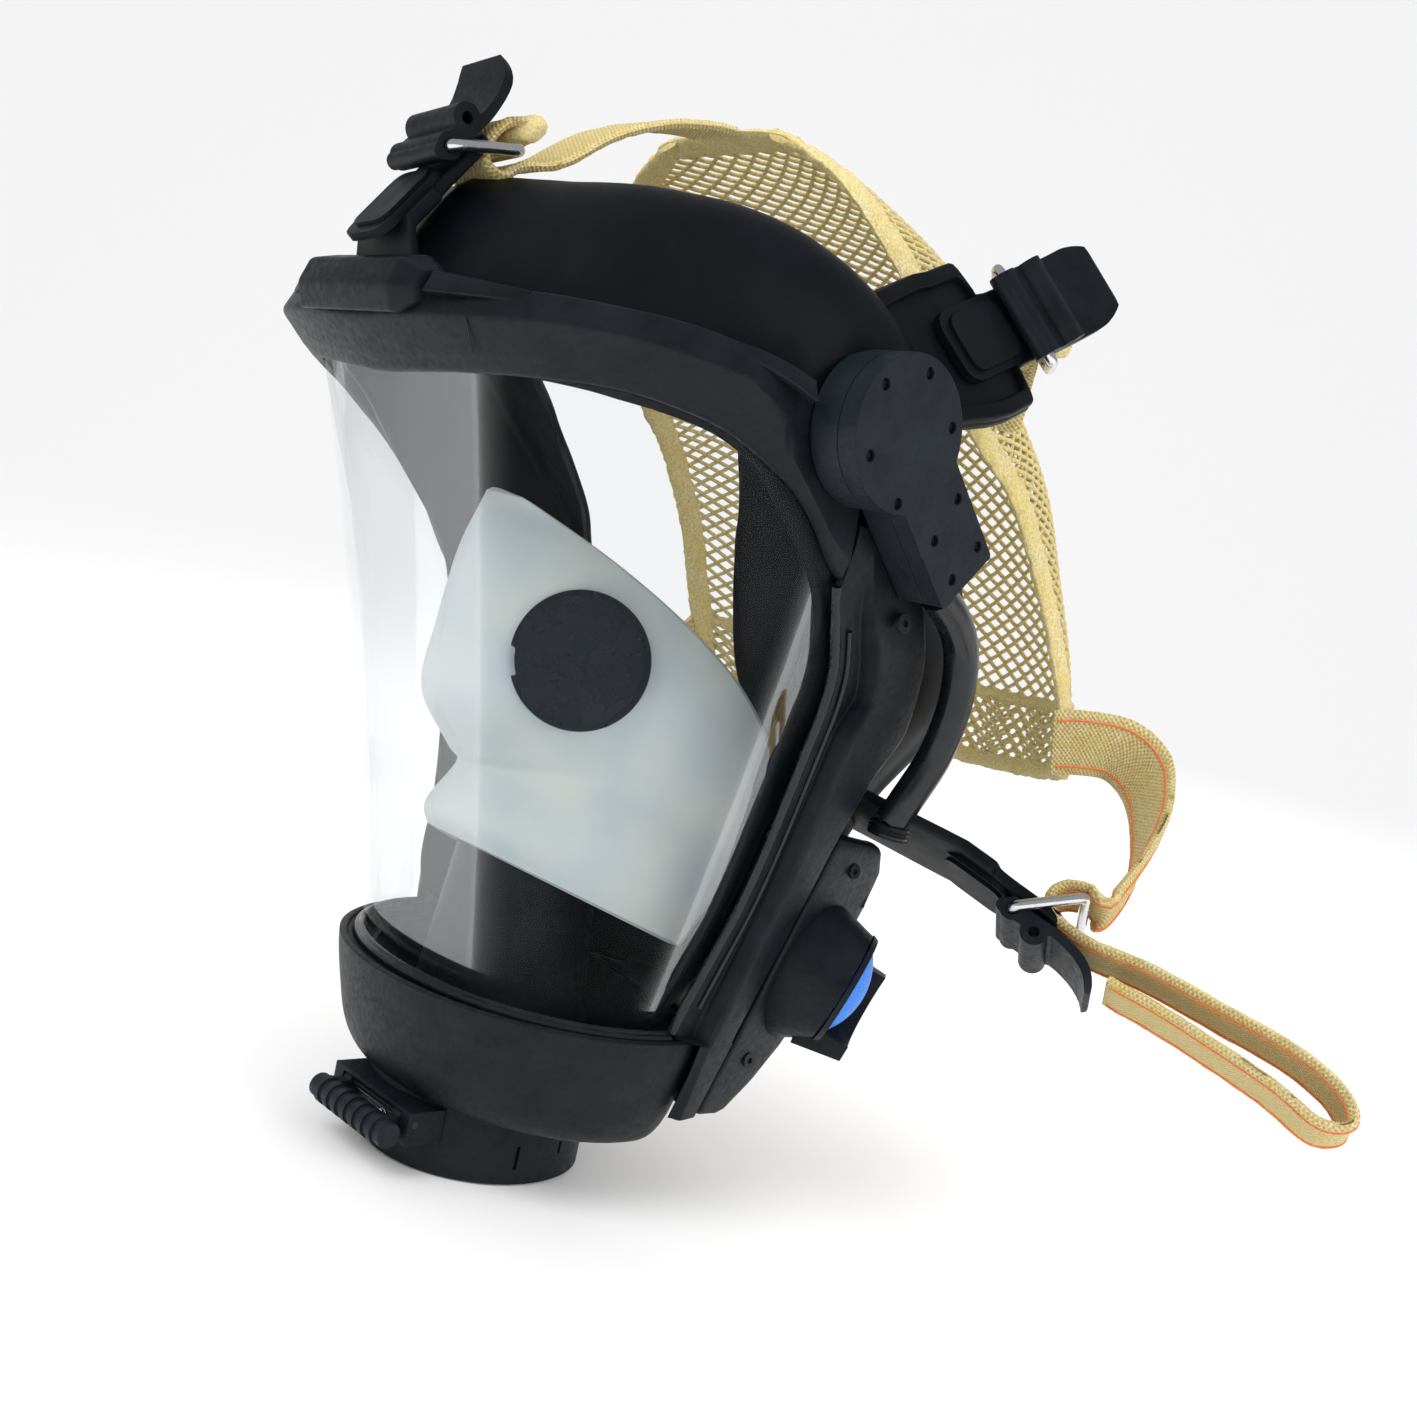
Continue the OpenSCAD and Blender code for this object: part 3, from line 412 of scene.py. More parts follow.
def plastic(name, base, dusty, rough=0.5, grain=0.35, edge=0.35, dust_from=0.25):
    """Moulded nylon: fine grain, worn patches, and a paler bloom on the faces that look up."""
    f = Finish(name, Specular_IOR_Level=0.22)
    patch = f.grain(9, 4)
    up = f.math("MULTIPLY", f.fit(f.facing_up(), dust_from, 0.95), f.fit(patch, 0.3, 0.65, 0.45, 1.0))
    fleck = f.fit(f.grain(0.5, 3), 0.35, 0.7, 0.0, 0.5)
    tone = f.blend(f.math("MULTIPLY", f.fit(patch, 0.35, 0.7), 0.35), colour(base), colour(dusty))
    tone = f.blend(f.math("MULTIPLY", up, 0.4), tone, colour(dusty))
    f.put(f.bsdf.inputs["Base Color"], f.blend(f.math("MULTIPLY", fleck, 0.25), tone, colour(dusty)))
    f.put(f.bsdf.inputs["Roughness"], f.fit(f.grain(1.6, 5), 0.3, 0.7, rough - 0.08, rough + 0.12))
    f.bump(f.grain(grain, 2), 0.05, edge)
    return f.mat


def rubber(name, base, pale, rough=0.42, edge=0.3, sheen=0.25):
    f = Finish(name, Specular_IOR_Level=0.4, Sheen_Weight=sheen, Sheen_Roughness=0.5, Sheen_Tint=colour("#56606c"))
    smear = f.grain(14, 5, 0.65)
    f.put(f.bsdf.inputs["Base Color"], f.blend(f.fit(smear, 0.4, 0.75, 0.0, 0.55), colour(base), colour(pale)))
    f.put(f.bsdf.inputs["Roughness"], f.fit(f.grain(5, 6), 0.3, 0.7, rough - 0.08, rough + 0.16))
    f.bump(f.grain(2.4, 4), 0.015, edge)
    return f.mat


def metal(name):
    f = Finish(name, Metallic=1.0, Base_Color=colour("#d4d6d8"))
    f.put(f.bsdf.inputs["Roughness"], f.fit(f.grain(2.0, 5), 0.3, 0.7, 0.14, 0.3))
    f.bump(f.grain(0.6, 3), 0.01)
    return f.mat


def kevlar(name, weave):
    """Yellow aramid; weave 0 is felt, 1 is webbing with its pattern in the UV map, in millimetres, and painted shade
    darkening the hollows of its weave.
    """
    f = Finish(name, Roughness=0.78, Specular_IOR_Level=0.25, Sheen_Weight=0.35, Sheen_Roughness=0.4, Sheen_Tint=colour("#fff0b4"))
    fibre = f.add("TexNoise", Vector=f.where, Scale=1600, Detail=6, Roughness=0.7)
    cloud = f.grain(7, 4)
    tone = f.blend(f.fit(fibre, 0.3, 0.68), colour("#a8925a"), colour("#ece0b0"))
    tone = f.blend(f.fit(cloud, 0.35, 0.7, 0.0, 0.45), tone, colour("#cdb455"))
    height = fibre
    if weave:
        uv = f.add("SeparateXYZ", f.add("UVMap"))
        u, v = uv.outputs["X"], uv.outputs["Y"]
        across = f.math("SINE", f.math("MULTIPLY", u, 2 * math.pi / 1.5))
        along = f.math("SINE", f.math("ADD", f.math("MULTIPLY", v, 2 * math.pi / 1.1), f.math("MULTIPLY", f.math("SIGN", across), 1.57)))
        rib = f.fit(f.math("MULTIPLY", along, f.math("ABSOLUTE", across)), -1.0, 1.0)
        # painted shade: where the weave's rib height is low, its hollows are darkened towards brown #8f6f22
        tone = f.blend(f.fit(rib, 0.15, 0.6, 0.5, 0.0), tone, colour("#8f6f22"))
        height = f.math("ADD", rib, f.math("MULTIPLY", fibre, 0.6))
    f.put(f.bsdf.inputs["Base Color"], tone)
    f.bump(height, 0.35 if weave else 0.3)
    return f.mat


def clear_lens(name, haze=0.003):
    """Clear polycarbonate: mostly see-through, shiny at grazing angles, with a faint haze of fine scratches."""
    f = Finish(name)
    scratch = f.fit(f.add("TexNoise", Vector=f.where, Scale=40, Detail=3, Roughness=0.5), 0.35, 0.7, haze * 0.3, haze)
    clear = f.add("BsdfTransparent", Color=(0.975, 0.982, 0.988, 1))
    milk = f.add("BsdfDiffuse", Color=(0.62, 0.66, 0.7, 1))
    gloss = f.add("BsdfGlossy", Color=(1, 1, 1, 1), Roughness=0.03)
    fresnel = f.add("Fresnel", IOR=1.46)
    edge = f.fit(fresnel, 0.08, 0.9, 0.002, 0.22)
    body = f.add("MixShader", scratch, clear, milk)
    f.put(f.out.inputs["Surface"], f.add("MixShader", edge, body, gloss))
    return f.mat


def silicone(name):
    """Milky translucent silicone, a little clearer where it is thin."""
    f = Finish(name, Roughness=0.38, Specular_IOR_Level=0.45, Coat_Weight=0.15, Coat_Roughness=0.3)
    cloud = f.grain(22, 3)
    tone = f.blend(f.fit(cloud, 0.35, 0.65), colour("#dfe3dd"), colour("#c9d3da"))
    f.put(f.bsdf.inputs["Base Color"], tone)
    f.bump(f.grain(3, 4), 0.05)
    back = f.add("BsdfTranslucent", Color=colour("#dfe4e2"))
    clear = f.add("BsdfTransparent", Color=colour("#e9edef"))
    body = f.add("MixShader", 0.42, f.bsdf.outputs[0], back)
    f.put(f.out.inputs["Surface"], f.add("MixShader", 0.1, body, clear))
    return f.mat


def plain(name, base, pale, rough=0.5, metallic=0.0, size=1.2):
    f = Finish(name, Metallic=metallic)
    f.put(f.bsdf.inputs["Base Color"], f.blend(f.fit(f.grain(size, 5), 0.35, 0.7), colour(base), colour(pale)))
    f.put(f.bsdf.inputs["Roughness"], f.fit(f.grain(size * 2, 3), 0.3, 0.7, rough - 0.06, rough + 0.1))
    f.bump(f.grain(size, 3), 0.03, 0.2)
    return f.mat


def seal_finish(name):
    """The seal's rubber: near black, with a faint smeared tone and a fine grain."""
    f = Finish(name, Specular_IOR_Level=0.2)
    smear = f.grain(16, 6, 0.7)
    dark = f.blend(f.fit(smear, 0.4, 0.75, 0.0, 0.5), colour("#05090e"), colour("#0e141a"))
    f.put(f.bsdf.inputs["Base Color"], dark)
    f.put(f.bsdf.inputs["Roughness"], f.fit(f.grain(5, 6), 0.3, 0.7, 0.44, 0.54))
    f.bump(f.grain(3.5, 4), 0.012, 0.0)
    return f.mat


BLACK = plastic("black_plastic", "#070b10", "#1e252c", 0.48)
SHADE = plastic("module_plastic", "#10161c", "#262d34", 0.48, 0.4)
SCREW = plain("blackened_screw", "#101317", "#1b2025", 0.4, 0.3)
RUBBER = seal_finish("seal_rubber")
GLOSS = rubber("gloss_rubber", "#0c0e11", "#1c2025", 0.2, 0.2, 0.0)
VALVE = rubber("valve_rubber", "#0a121a", "#101b25", 0.24, 0.15, 0.0)
STEEL = metal("steel")
FELT = kevlar("kevlar_felt", 0)
WEB = kevlar("kevlar_web", 1)
TRACER = plain("tracer_thread", "#d9622b", "#f08b4c", 0.7, size=0.4)
LENS = clear_lens("clear_lens")
CUP = silicone("cup_silicone")
BLUE = plain("button_blue", "#0f62c4", "#2482e0", 0.5, size=0.7)
BOARD = plain("circuit_board", "#134a2a", "#1d6238", 0.5)
CELL = plain("battery_wrap", "#5d6b2e", "#6f7d3c", 0.5)
CONE = plain("speaker_frame", "#3a3d40", "#55595d", 0.4, 0.6)
FOIL = plain("diaphragm_foil", "#b9bcc0", "#d3d6d9", 0.3, 0.9)
DARK = plain("deep_shadow", "#07090b", "#0c0e11", 0.7)

# ---------- lens ----------
zs = np.linspace(43, 188, 59)
us = np.linspace(-1, 1, 121)


def lens_grid(off):
    return [[on_lens(u * (edge_a(z) + 1.5), z, off) for u in us] for z in zs]


piece("lens_shell", *shell(lens_grid(0), lens_grid(-LENS_T), 0.3), LENS, "lens", stands_for=["lens"])

# ---------- brow band ----------
BROW = [
    [[0, 179.3], [23, 181.9], [41, 183.4], [49, 182.6], [60, 180], [75, 170.5], [88, 155]],
    [[0, 188.6], [33, 192], [46, 192], [64, 188.8], [75, 181.5], [88, 166]],
    [[0, 196.4], [34, 198], [52, 197.4], [64, 194.8], [75, 188.5], [88, 173.5]],
]
SEAT_X = 83.4


def brow(a, row):
    """Height of a line of the brow at angle a, its kinks eased."""
    return float(np.mean([lookup(min(max(abs(a + s), 0), 88), BROW[row]) for s in (-4, -2, 0, 2, 4)]))


def seated(p):
    return vec(SEAT_X, p[1], p[2]) if p[0] > SEAT_X and p[2] > 150 else p


def brow_ring(a):
    low, step, top = (brow(a, k) for k in range(3))
    k = min(1, max(0, (88 - abs(a)) / 9))
    line = [
        on_lens(a, low, GAP), on_lens(a, low, 2.6), on_lens(a, mix(low, step, 0.22), mix(3, 4.2, k)), on_lens(a, mix(low, step, 0.3), mix(3.3, 4.9, k)),
        on_lens(a, step, mix(4, 9, k)), on_lens(a, top, mix(3.4, 4.4, k)), on_lens(a, top + 0.2, 3.2), on_lens(a, top, GAP),
    ]
    return [seated(p) for p in rounded(line, [0.5, 0.9, 0.5, 0.5, 1.1, 0.8, 0.6, 0.5])]


piece("brow_band", *loft([brow_ring(a) for a in np.linspace(-88, 88, 177)]), BLACK, "black_plastic", stands_for=["upper_bezel"])

LUG = [(-77.6, 189.5), (-79.4, 195), (-77.4, 200.6), (-71, 203), (-66.4, 201), (-66, 192)]
LUG_MID = vec(-72, 196)
lug = []
for x, k in ((-23, 0.55), (-22.6, 0.62), (-18.6, 0.98), (-17.8, 1), (17.8, 1), (18.6, 0.98), (22.6, 0.62), (23, 0.55)):
    lug.append(rounded([vec(x, *(LUG_MID + (vec(p) - LUG_MID) * k)) for p in LUG], 0.9))
piece("brow_lug", *loft(lug), BLACK, "black_plastic")


parts = []
for s, start, end, height in ((-1, 15, 30, 4.6), (1, 15, 30, 4.6), (-1, 71, 59, 3.4), (1, 71, 59, 3.4)):
    rings = []
    for t in np.linspace(0, 1, 9):
        a, tall = s * mix(start, end, t), height * (1 - t) + 0.4
        foot = brow(a, 2)
        line = [on_lens(a, foot - 3, 5.2), on_lens(a, foot - 2.4, 5.4 + 0.7 * tall), on_lens(a, foot + 0.5 * tall, 4.6), on_lens(a, foot - 0.4, 3.4)]
        rings.append(rounded(line, 0.6))
    parts.append(loft(rings))
piece("brow_gussets", *join(parts), BLACK, "black_plastic")

parts = []
for a in (22,):
    line = [on_lens(a, mix(brow(a, 0), brow(a, 1), t), mix(4.9, 9, t) + 0.05) for t in np.linspace(0.32, 0.97, 9)]
    parts.append(tube(line, 0.16, 6))
piece("brow_seams", *join(parts), DARK, "black_plastic")

# ---------- bowl ----------
BOWL = [[16.6, 44, 34, 22, 10], [18.4, 48, 38.5, 23, 10], [24, 51.5, 42.5, 23.5, 10.2], [33, 54.2, 45.6, 23.8, 10.6],
        [41, 56.5, 47.8, 24, 11], [45.2, 57.2, 48.3, 24, 11]]
COLLAR_R = 27.5


def oval(row, inset, a):
    c, s = math.cos(math.radians(a)), math.sin(math.radians(a))
    return vec((row[1] - inset) * c, row[4] + ((row[2] if s < 0 else row[3]) - inset) * s, row[0])


def seat_row(z, off):
    return [z, half_w(z) + off, DEPTH * half_w(z) + off, 20, mid_y(z)]


fine_bowl = refine(BOWL, 5)


def bowl_ring(a):
    wall = [oval(r, 0, a) for r in fine_bowl]
    c, s = math.cos(math.radians(a)), math.sin(math.radians(a))
    rim = [oval([45.2, 57.2, 48.3, 24, 11], i, a) + [0, 0, h] for i, h in ((0.5, 0.35), (1.2, 0.45), (1.9, 0.3), (2.3, -0.4))]
    lip = [oval(seat_row(44.6, 1.6), 0, a), oval(seat_row(42.6, 0.5), 0, a), oval(seat_row(42, -3.2), 0, a)]
    back = [oval(BOWL[i], 3 + (1.5 if i == 3 else 0), a) for i in (3, 2)]
    neck = [vec((COLLAR_R + 0.7) * c, (COLLAR_R + 0.7) * s, z) for z in (19.6, 16.6)]
    return wall + rim + lip + back + neck


piece("bowl", *loft([bowl_ring(a) for a in np.arange(0, 360, 2.5)], True), BLACK, "black_plastic", stands_for=["lower_bezel"], angle=50)


def lens_lip(z, off, a0, a1, n=90):
    return [on_lens(a, z, off) for a in np.linspace(a0, a1, n)]


piece("lens_gasket", *join([tube(lens_lip(45.5, 1.5, -88, 88), 1.15, 10), tube(lens_lip(46.5, 0.6, -88, 88), 0.8, 8)]), GLOSS, "seal_rubber")

# ---------- side arms ----------
ARM = np.array([[168, 1.9, 7, 18, 0.4], [157, 2.6, 9.5, 26, 0.4], [152, 3.6, 11.5, 30, 0.5], [148, 6.5, 13.5, 34, 0.6],
                [141, 11.4, 19, 39, 2.2], [132, 15, 24, 42, 3.2], [124, 15.3, 20.5, 43, 3.6], [114, 15.5, 20.5, 37, 2],
                [100, 15.7, 20, 33, -2.6], [84, 15.4, 19.5, 30.5, -5], [60, 11, 16.5, 26.5, -5], [48, 9, 15, 24.5, -5],
                [45.9, 9.5, 15, 24.3, -4.6], [45.5, 13.2, 15, 24.2, 7.2], [38, 13.4, 15, 23, 7.2], [26, 13.6, 15, 21.5, 6.2]])
BAND = 9.0


def arm_at(z):
    return [z] + [float(np.mean([np.interp(-(z + s), -ARM[:, 0], ARM[:, k]) for s in ((-2, 0, 2) if z > 52 else (0,))])) for k in range(1, 5)]


def arm_ring(z):
    r = arm_at(z)
    i = r[4]
    g = i if z < 45.8 else GAP
    line = [on_side(r[1], z, g), on_side(r[1], z, max(2.6, g + 0.4)), on_side(r[2] - 0.8, z, max(3.2, g + 0.8)),
            on_side(r[2], z, BAND), on_side(r[3], z, BAND), on_side(r[3], z, i), on_side(r[2] + 0.5, z, i), on_side(r[2], z, g)]
    return [vec(min(p[0], SEAT_X) if z > 138 else p[0], p[1], p[2]) for p in rounded(line, [0.2, 0.3, 0.5, 1.4, 1.8, 0.6, 0.2, 0.2])]


arm = loft([arm_ring(z) for z in np.concatenate([[168, 167.6], np.arange(166.5, 46.5, -1.5), [45.9, 45.5], np.arange(44, 27, -1.5), [26.4, 26]])])
piece("arm_left", *arm, BLACK, "black_plastic", stands_for=["side_arm_left"])
piece("arm_right", *mirrored(arm), BLACK, "black_plastic", stands_for=["side_arm_right"])


def rail(z, lift):
    """Middle of the glossy strip that holds the side edge of the lens."""
    return on_side(arm_at(z)[1] - 0.2, z, lift)


rail_path = refine([rail(z, 1.2) for z in (155, 146, 137, 128, 118, 106, 94, 80, 66, 54, 47)], 8)
strip = tube(rail_path, 1.3, 12)
inner_strip = tube(refine([on_side(arm_at(z)[1] + 2.4, z, 3.2) for z in (146, 137, 128, 118, 106, 94, 80, 66, 54)], 8), 0.6, 10)
for name, shape in (("rail_left", join([strip, inner_strip])), ("rail_right", mirrored(join([strip, inner_strip])))):
    piece(name, *shape, GLOSS, "seal_rubber")

# ---------- face seal ----------
SEAL = [
    [[0, -62, 182], [0, -65.2, 200], [0, -55, 220.5], [0, -44, 223], [0, -31, 204]],
    [[24, -59.6, 184], [24.5, -61.6, 201], [22, -47.5, 222], [20, -35, 223], [16, -23, 201]],
    [[50, -45, 183], [51, -46.3, 200], [46, -39, 222.5], [42, -25, 222], [29, -9, 194]],
    [[69, -27, 179], [70.5, -26.5, 196], [69.5, -27, 218.5], [64, -10, 217], [36, 4, 186]],
    [[74.5, -12, 166], [79.5, -8, 184], [83, -12, 207], [78, 6, 203], [35, 9.5, 178]],
    [[73.5, 3, 150], [78, 14, 166], [81.5, 16, 184], [76, 29, 180], [32.5, 15.5, 168]],
    [[68.2, 8, 136], [74, 30, 146], [76, 44, 158], [68, 50, 153], [30, 20, 157]],
    [[63.5, 9, 118], [69, 34, 126], [72, 52, 132], [64, 56, 128], [31, 26, 134]],
    [[60.6, 9.5, 98], [57, 28, 100], [56, 50, 104], [51, 54, 100], [36, 36, 106]],
    [[56.5, 9, 78], [50, 28, 78], [49.5, 45.5, 78], [45, 49, 76], [36, 34, 80]],
    [[49.5, 6, 54], [44, 26, 58], [43, 40, 52], [39, 43, 50], [31, 32, 60]],
    [[38, 16, 48], [34, 29.5, 51], [34, 40, 40], [31, 44, 40], [26, 33, 53]],
    [[20, 25, 49], [19, 34.5, 50], [18, 42, 36], [16, 46, 37], [14, 37, 50]],
    [[0, 28, 49], [0, 36.5, 50], [0, 43, 34], [0, 47, 35], [0, 39, 49]],
]
left = refine(np.array(SEAL), 9)
around = np.concatenate([left, left[-2:0:-1] * [-1, 1, 1]])
rows = np.array([refine(s, 9) for s in around])
inward = -2.0 * normals_of(rows, True)
obj = piece("seal_body", *shell(rows, rows + inward, 0.7, True), RUBBER, "seal_rubber", stands_for=["face_seal"], angle=60)
ruffle(obj, 0.22, 16, 3)

# chin cup of the seal, across its inner lips below the nose cup
CHIN = [[88, 36.5, 35], [80, 36, 34], [70, 33.6, 33], [60, 31, 32], [53, 26, 33], [50, 20, 36]]


def chin_grid(inset):
    return [[vec(u * (w - inset), mix(22.5, y, u * u) + inset, z) for u in np.linspace(-1, 1, 33)] for z, w, y in refine(CHIN, 6)]


piece("chin_cup", *shell(chin_grid(0), chin_grid(1.8), 0.6), RUBBER, "seal_rubber", angle=60)

# ---------- strap frames and tabs ----------
TOP = axes([[-1, -60.7, 223.8], unit([1, -0.04, 0.06]), unit([-0.02, 0.58, 0.82])])
TOP_ROOT = axes([[0, -67.3, 198.6], [1, 0, 0], unit([0, 0.3, 0.95])])
TEMPLE = axes([[84, 34.2, 217.9], unit([0.516, 0.447, -0.728]), unit([-0.09, 0.86, 0.5])])
TEMPLE_ROOT = axes([[80, -6, 198], unit([0.3, 0.38, -0.85]), unit([0, 0.9, 0.42])])
CHEEK = axes([[92.4, 79.2, 89.1], unit([-0.42, 0.755, -0.505]), unit([0.9, 0.276, -0.336])])
CHEEK_ROOT = axes([[60, 49, 104], unit([-0.5, 0.75, -0.45]), unit([0.72, 0.66, -0.2])])


def at(f, x, y, z):
    return f[0] + x * f[1] + y * f[2] + z * f[3]


def tab_rows(root, end, ear):
    """(centre, across, out, half width) from the tab's root to the end of its neck."""
    made = []
    for t in np.linspace(0, 1, 15):
        k = t * t * (3 - 2 * t)
        across = unit(mix(root[1], end[1], k))
        out = unit(mix(root[3], end[3], k))
        made.append((mix(at(root, 0, -2, 0), at(end, 0, -18, 0), t), across, out, mix(13, ear, min(1, t * 1.15))))
    for y, w in ((-14, 18), (-10.4, 18), (-9.6, 17.6), (-9.1, 16.4), (-8.6, 13.5), (-8.3, 11.5), (-7.4, 10.3), (-5.5, 9.4), (-3, 9), (4, 9), (8.6, 9), (9.6, 8.2), (10, 7)):
        made.append((at(end, 0, y, 0), end[1], end[3], mix(9, ear, (w - 9) / 9) if w > 9 else w))
    return made


def tab_shape(root, end, ear):
    rings = []
    for c, across, out, w in tab_rows(root, end, ear):
        line = [(-w, -1.5), (w, -1.5), (w, 1.5), (-w, 1.5)]
        rings.append([c + p[0] * across + p[1] * out for p in rounded(line, 0.9)])
    return loft(rings)


def tab_trim(root, end, ear, ribs):
    """Raised pads of a tab, and border ribs that follow its sides."""
    shapes = [prism(box_outline(0, -13.5, 17, 21, 4), 1.0, 2.9, end), prism(box_outline(0, -13, 13.6, 17, 3), 2.4, 3.7, end)]
    if ribs:
        stations = tab_rows(root, end, ear)[4:21]
        for s in (-1, 1):
            rings = []
            for i, (c, across, out, w) in enumerate(stations):
                m = c + s * (w - 2.3) * across
                tall = 1.9 * min(1, (i + 0.6) / 3)
                line = [(-2.1, 0.8), (2.1, 0.8), (1.7, 1.2 + tall), (-1.7, 1.2 + tall)]
                rings.append([m + p[0] * across + p[1] * out for p in rounded(line, 0.7)])
            shapes.append(loft(rings))
    return shapes


def strap_tab(name, root, end, ear, ribs):
    shape = join([tab_shape(root, end, ear)] + tab_trim(root, end, ear, ribs))
    piece(name, *shape, RUBBER, "seal_rubber", angle=45)
    return shape


strap_tab("tab_top", TOP_ROOT, TOP, 11, False)
for name, root, end, ear in (("tab_temple", TEMPLE_ROOT, TEMPLE, 18), ("tab_cheek", CHEEK_ROOT, CHEEK, 12.5)):
    shape = strap_tab(name + "_left", root, end, ear, name == "tab_temple")
    piece(name + "_right", *mirrored(shape), RUBBER, "seal_rubber", angle=45)

# ---------- nose cup ----------
CUP_ROWS = [[[0, -33, 160], [8, -27.5, 159.5]], [[0, -37.2, 146], [22, -8, 150]], [[0, -39, 128], [34, 10, 139]],
            [[0, -39.3, 112], [43, 24, 127]], [[0, -29, 99.5], [48, 33, 113]], [[0, -25, 95], [49.5, 34, 98]],
            [[0, -31.7, 85.5], [47, 27, 80]], [[0, -30, 80.5], [43.5, 20, 63]]]
NOSE_R = 0.12
VALVE_AT = aimed([23, -14.4, 126], [0.7, -0.7, 0.1])


def cup_pt(c, e, u, inset):
    s, run = abs(u), e[1] - c[1]
    k = min(1, e[0] / run)
    f = k * (math.sqrt(s * s + NOSE_R**2) - NOSE_R) + (1 - k) * s**4
    return vec(u * (e[0] - inset * 0.7), c[1] + (run - inset) * f + inset * 1.3, mix(c[2], e[2], f))


def cup_grid(inset):
    centre, edge = (refine([r[k] for r in CUP_ROWS], 8) for k in (0, 1))
    return [[cup_pt(c, e, u, inset) for u in np.linspace(-1, 1, 81)] for c, e in zip(centre, edge)]


cup = piece("cup", *shell(cup_grid(0), cup_grid(2), 0.9), CUP, "cup_silicone", stands_for=["nose_cup"], angle=60)
ring = [[14.6 * math.cos(q), 14.6 * math.sin(q)] for q in np.linspace(0, 2 * math.pi, 48, False)]
cutter = prism(ring, -9, 7, VALVE_AT)
cut(cup, [cutter, mirrored(cutter)])

# ---------- covers of the amplifier and of the speech diaphragm ----------
COVER = np.array([[98.5, 33.4, 61], [92, 32.2, 65.5], [82, 30.8, 65], [70, 29, 62.5], [57, 27, 58], [45, 25, 53.5],
                  [35, 23.2, 47], [26, 22, 38]])


def cover_line(z, inset, dz, rim=False):
    """Row of a cover from its front rim round the outside to its rear rim."""
    f = float(np.interp(-z, -COVER[:, 0], COVER[:, 1])) + inset * 0.8
    e = float(np.interp(-z, -COVER[:, 0], COVER[:, 2])) - inset
    o, low, high = BAND - inset, vec(f, -0.5 if z < 50 else -4), vec(e, 0.5)
    skin = [low, vec(f, o * 0.6), vec(f, o), vec(mix(f, e, 0.5), o), vec(e - 6, o - 0.5), vec(e, o - 6), high]
    skin = rounded(skin, [0, 0.5, 1.2, 4, 3, 2.5, 0], 4, closed=False)
    if rim:
        skin = [mix(low, high, 0.05 + 0.9 * j / (len(skin) - 1)) for j in range(len(skin))]
    return [on_side(p[0], z + dz - 0.13 * (p[0] - f), p[1]) for p in skin]


def cover_grid(inset):
    top, low = 98.5 - inset, 26 + inset
    zs = np.linspace(top - 1.5, low + 1.5, 44)
    rows = [cover_line(top, inset, 0, True), cover_line(top, inset + 1.3, 0), cover_line(top, inset + 0.4, -0.4)]
    rows += [cover_line(z, inset, 0) for z in zs]
    return rows + [cover_line(low, inset + 0.4, 0.4), cover_line(low, inset + 1.3, 0), cover_line(low, inset, 0, True)]


BOSS = aimed([68.2, 47, 62.2], [0.74, 0.59, -0.32])
BUTTON_R = 11.5
cover_shape = shell(cover_grid(0), cover_grid(1.8))
cover = piece("amplifier_cover", *cover_shape, BLACK, "black_plastic", stands_for=["amp_cover"])


def saddle(stations):
    """The saddle under the button: its rings at shares of the way from the cover to the seat."""
    rings = []
    for t, off in stations:
        ring = []
        for q in np.linspace(0, 2 * math.pi, 72, False):
            s, c = math.sin(q), math.cos(q)
            seat = BOSS[0] + (BUTTON_R + 2.7) * (c * BOSS[1] + s * BOSS[2]) + 0.4 * BOSS[3]
            ring.append(mix(on_side(43.5 + 14 * s, 63 - 18 * c, off), seat, t))
        rings.append(ring)
    return loft(rings)


cut(cover, [saddle([(0, 3), (0, 8.2), (0.5, 9.4), (1, 0)])])
housing = piece("button_saddle", *saddle([(0, 3), (0, 7.8), (0.03, 8.5), (0.08, 8.9), (0.2, 9.3), (0.4, 9.5), (0.6, 9.5), (0.8, 9.2), (0.95, 8), (1, 0)]),
                BLACK, "black_plastic", stands_for=["button_housing"], angle=60)
hole = [[(BUTTON_R + 0.1) * math.cos(q), (BUTTON_R + 0.1) * math.sin(q)] for q in np.linspace(0, 2 * math.pi, 64, False)]
cut(housing, [prism(hole, -7, 9, BOSS)])
voice = piece("speech_cover", *mirrored(cover_shape), BLACK, "black_plastic", stands_for=["voice_cover_right"])
small = [[1.6 * math.cos(q), 1.6 * math.sin(q)] for q in np.linspace(0, 2 * math.pi, 20, False)]
cut(voice, [mirrored(prism(small, -5, 4, aimed(on_side(38 + i * 2, 58 + i * 6, BAND), [0.98, 0.15, -0.2]))) for i in range(5)])

# ---------- cable ----------
CABLE = [[89, 24.5, 157.5], [88, 33, 153], [86, 41, 146], [84, 45.5, 135], [81, 46.5, 122], [77.5, 44, 110], [75.5, 43, 104.5]]
path = refine(CABLE, 12)
cable = piece("cable_jacket", *tube(path, 4.0, 20), GLOSS, "seal_rubber", stands_for=["cable"])
boot = [vec(75.6, 43, 103.9) + unit([-0.1, -0.05, -1]) * t for t in (0, 0.5, 0.9, 1.3, 1.7, 2.1, 2.5, 3)]
piece("cable_boot", *tube(boot, [4.6, 5, 4.6, 5, 4.6, 5, 4.7, 4.9], 20), GLOSS, "seal_rubber", stands_for=["cable_boots"])

# ---------- head net ----------
NET = [[[72.5, 112, 120], [0, 134, 113]], [[72.5, 106, 134], [0, 137, 129]], [[71, 98, 149], [0, 138, 148]],
       [[68.5, 88, 166], [0, 134, 167]], [[66, 72.5, 185], [0, 124, 196]], [[62, 56, 198], [0, 107, 219]],
       [[55, 33, 224], [0, 81, 241]], [[40, 20, 245], [0, 47, 252]], [[24, 14.5, 255], [0, 14, 258]]]
NET_STEPS = 40
edge_line, mid_line = (refine([r[k] for r in NET], NET_STEPS) for k in (0, 1))
quarter = np.linspace(0, 1, 49)


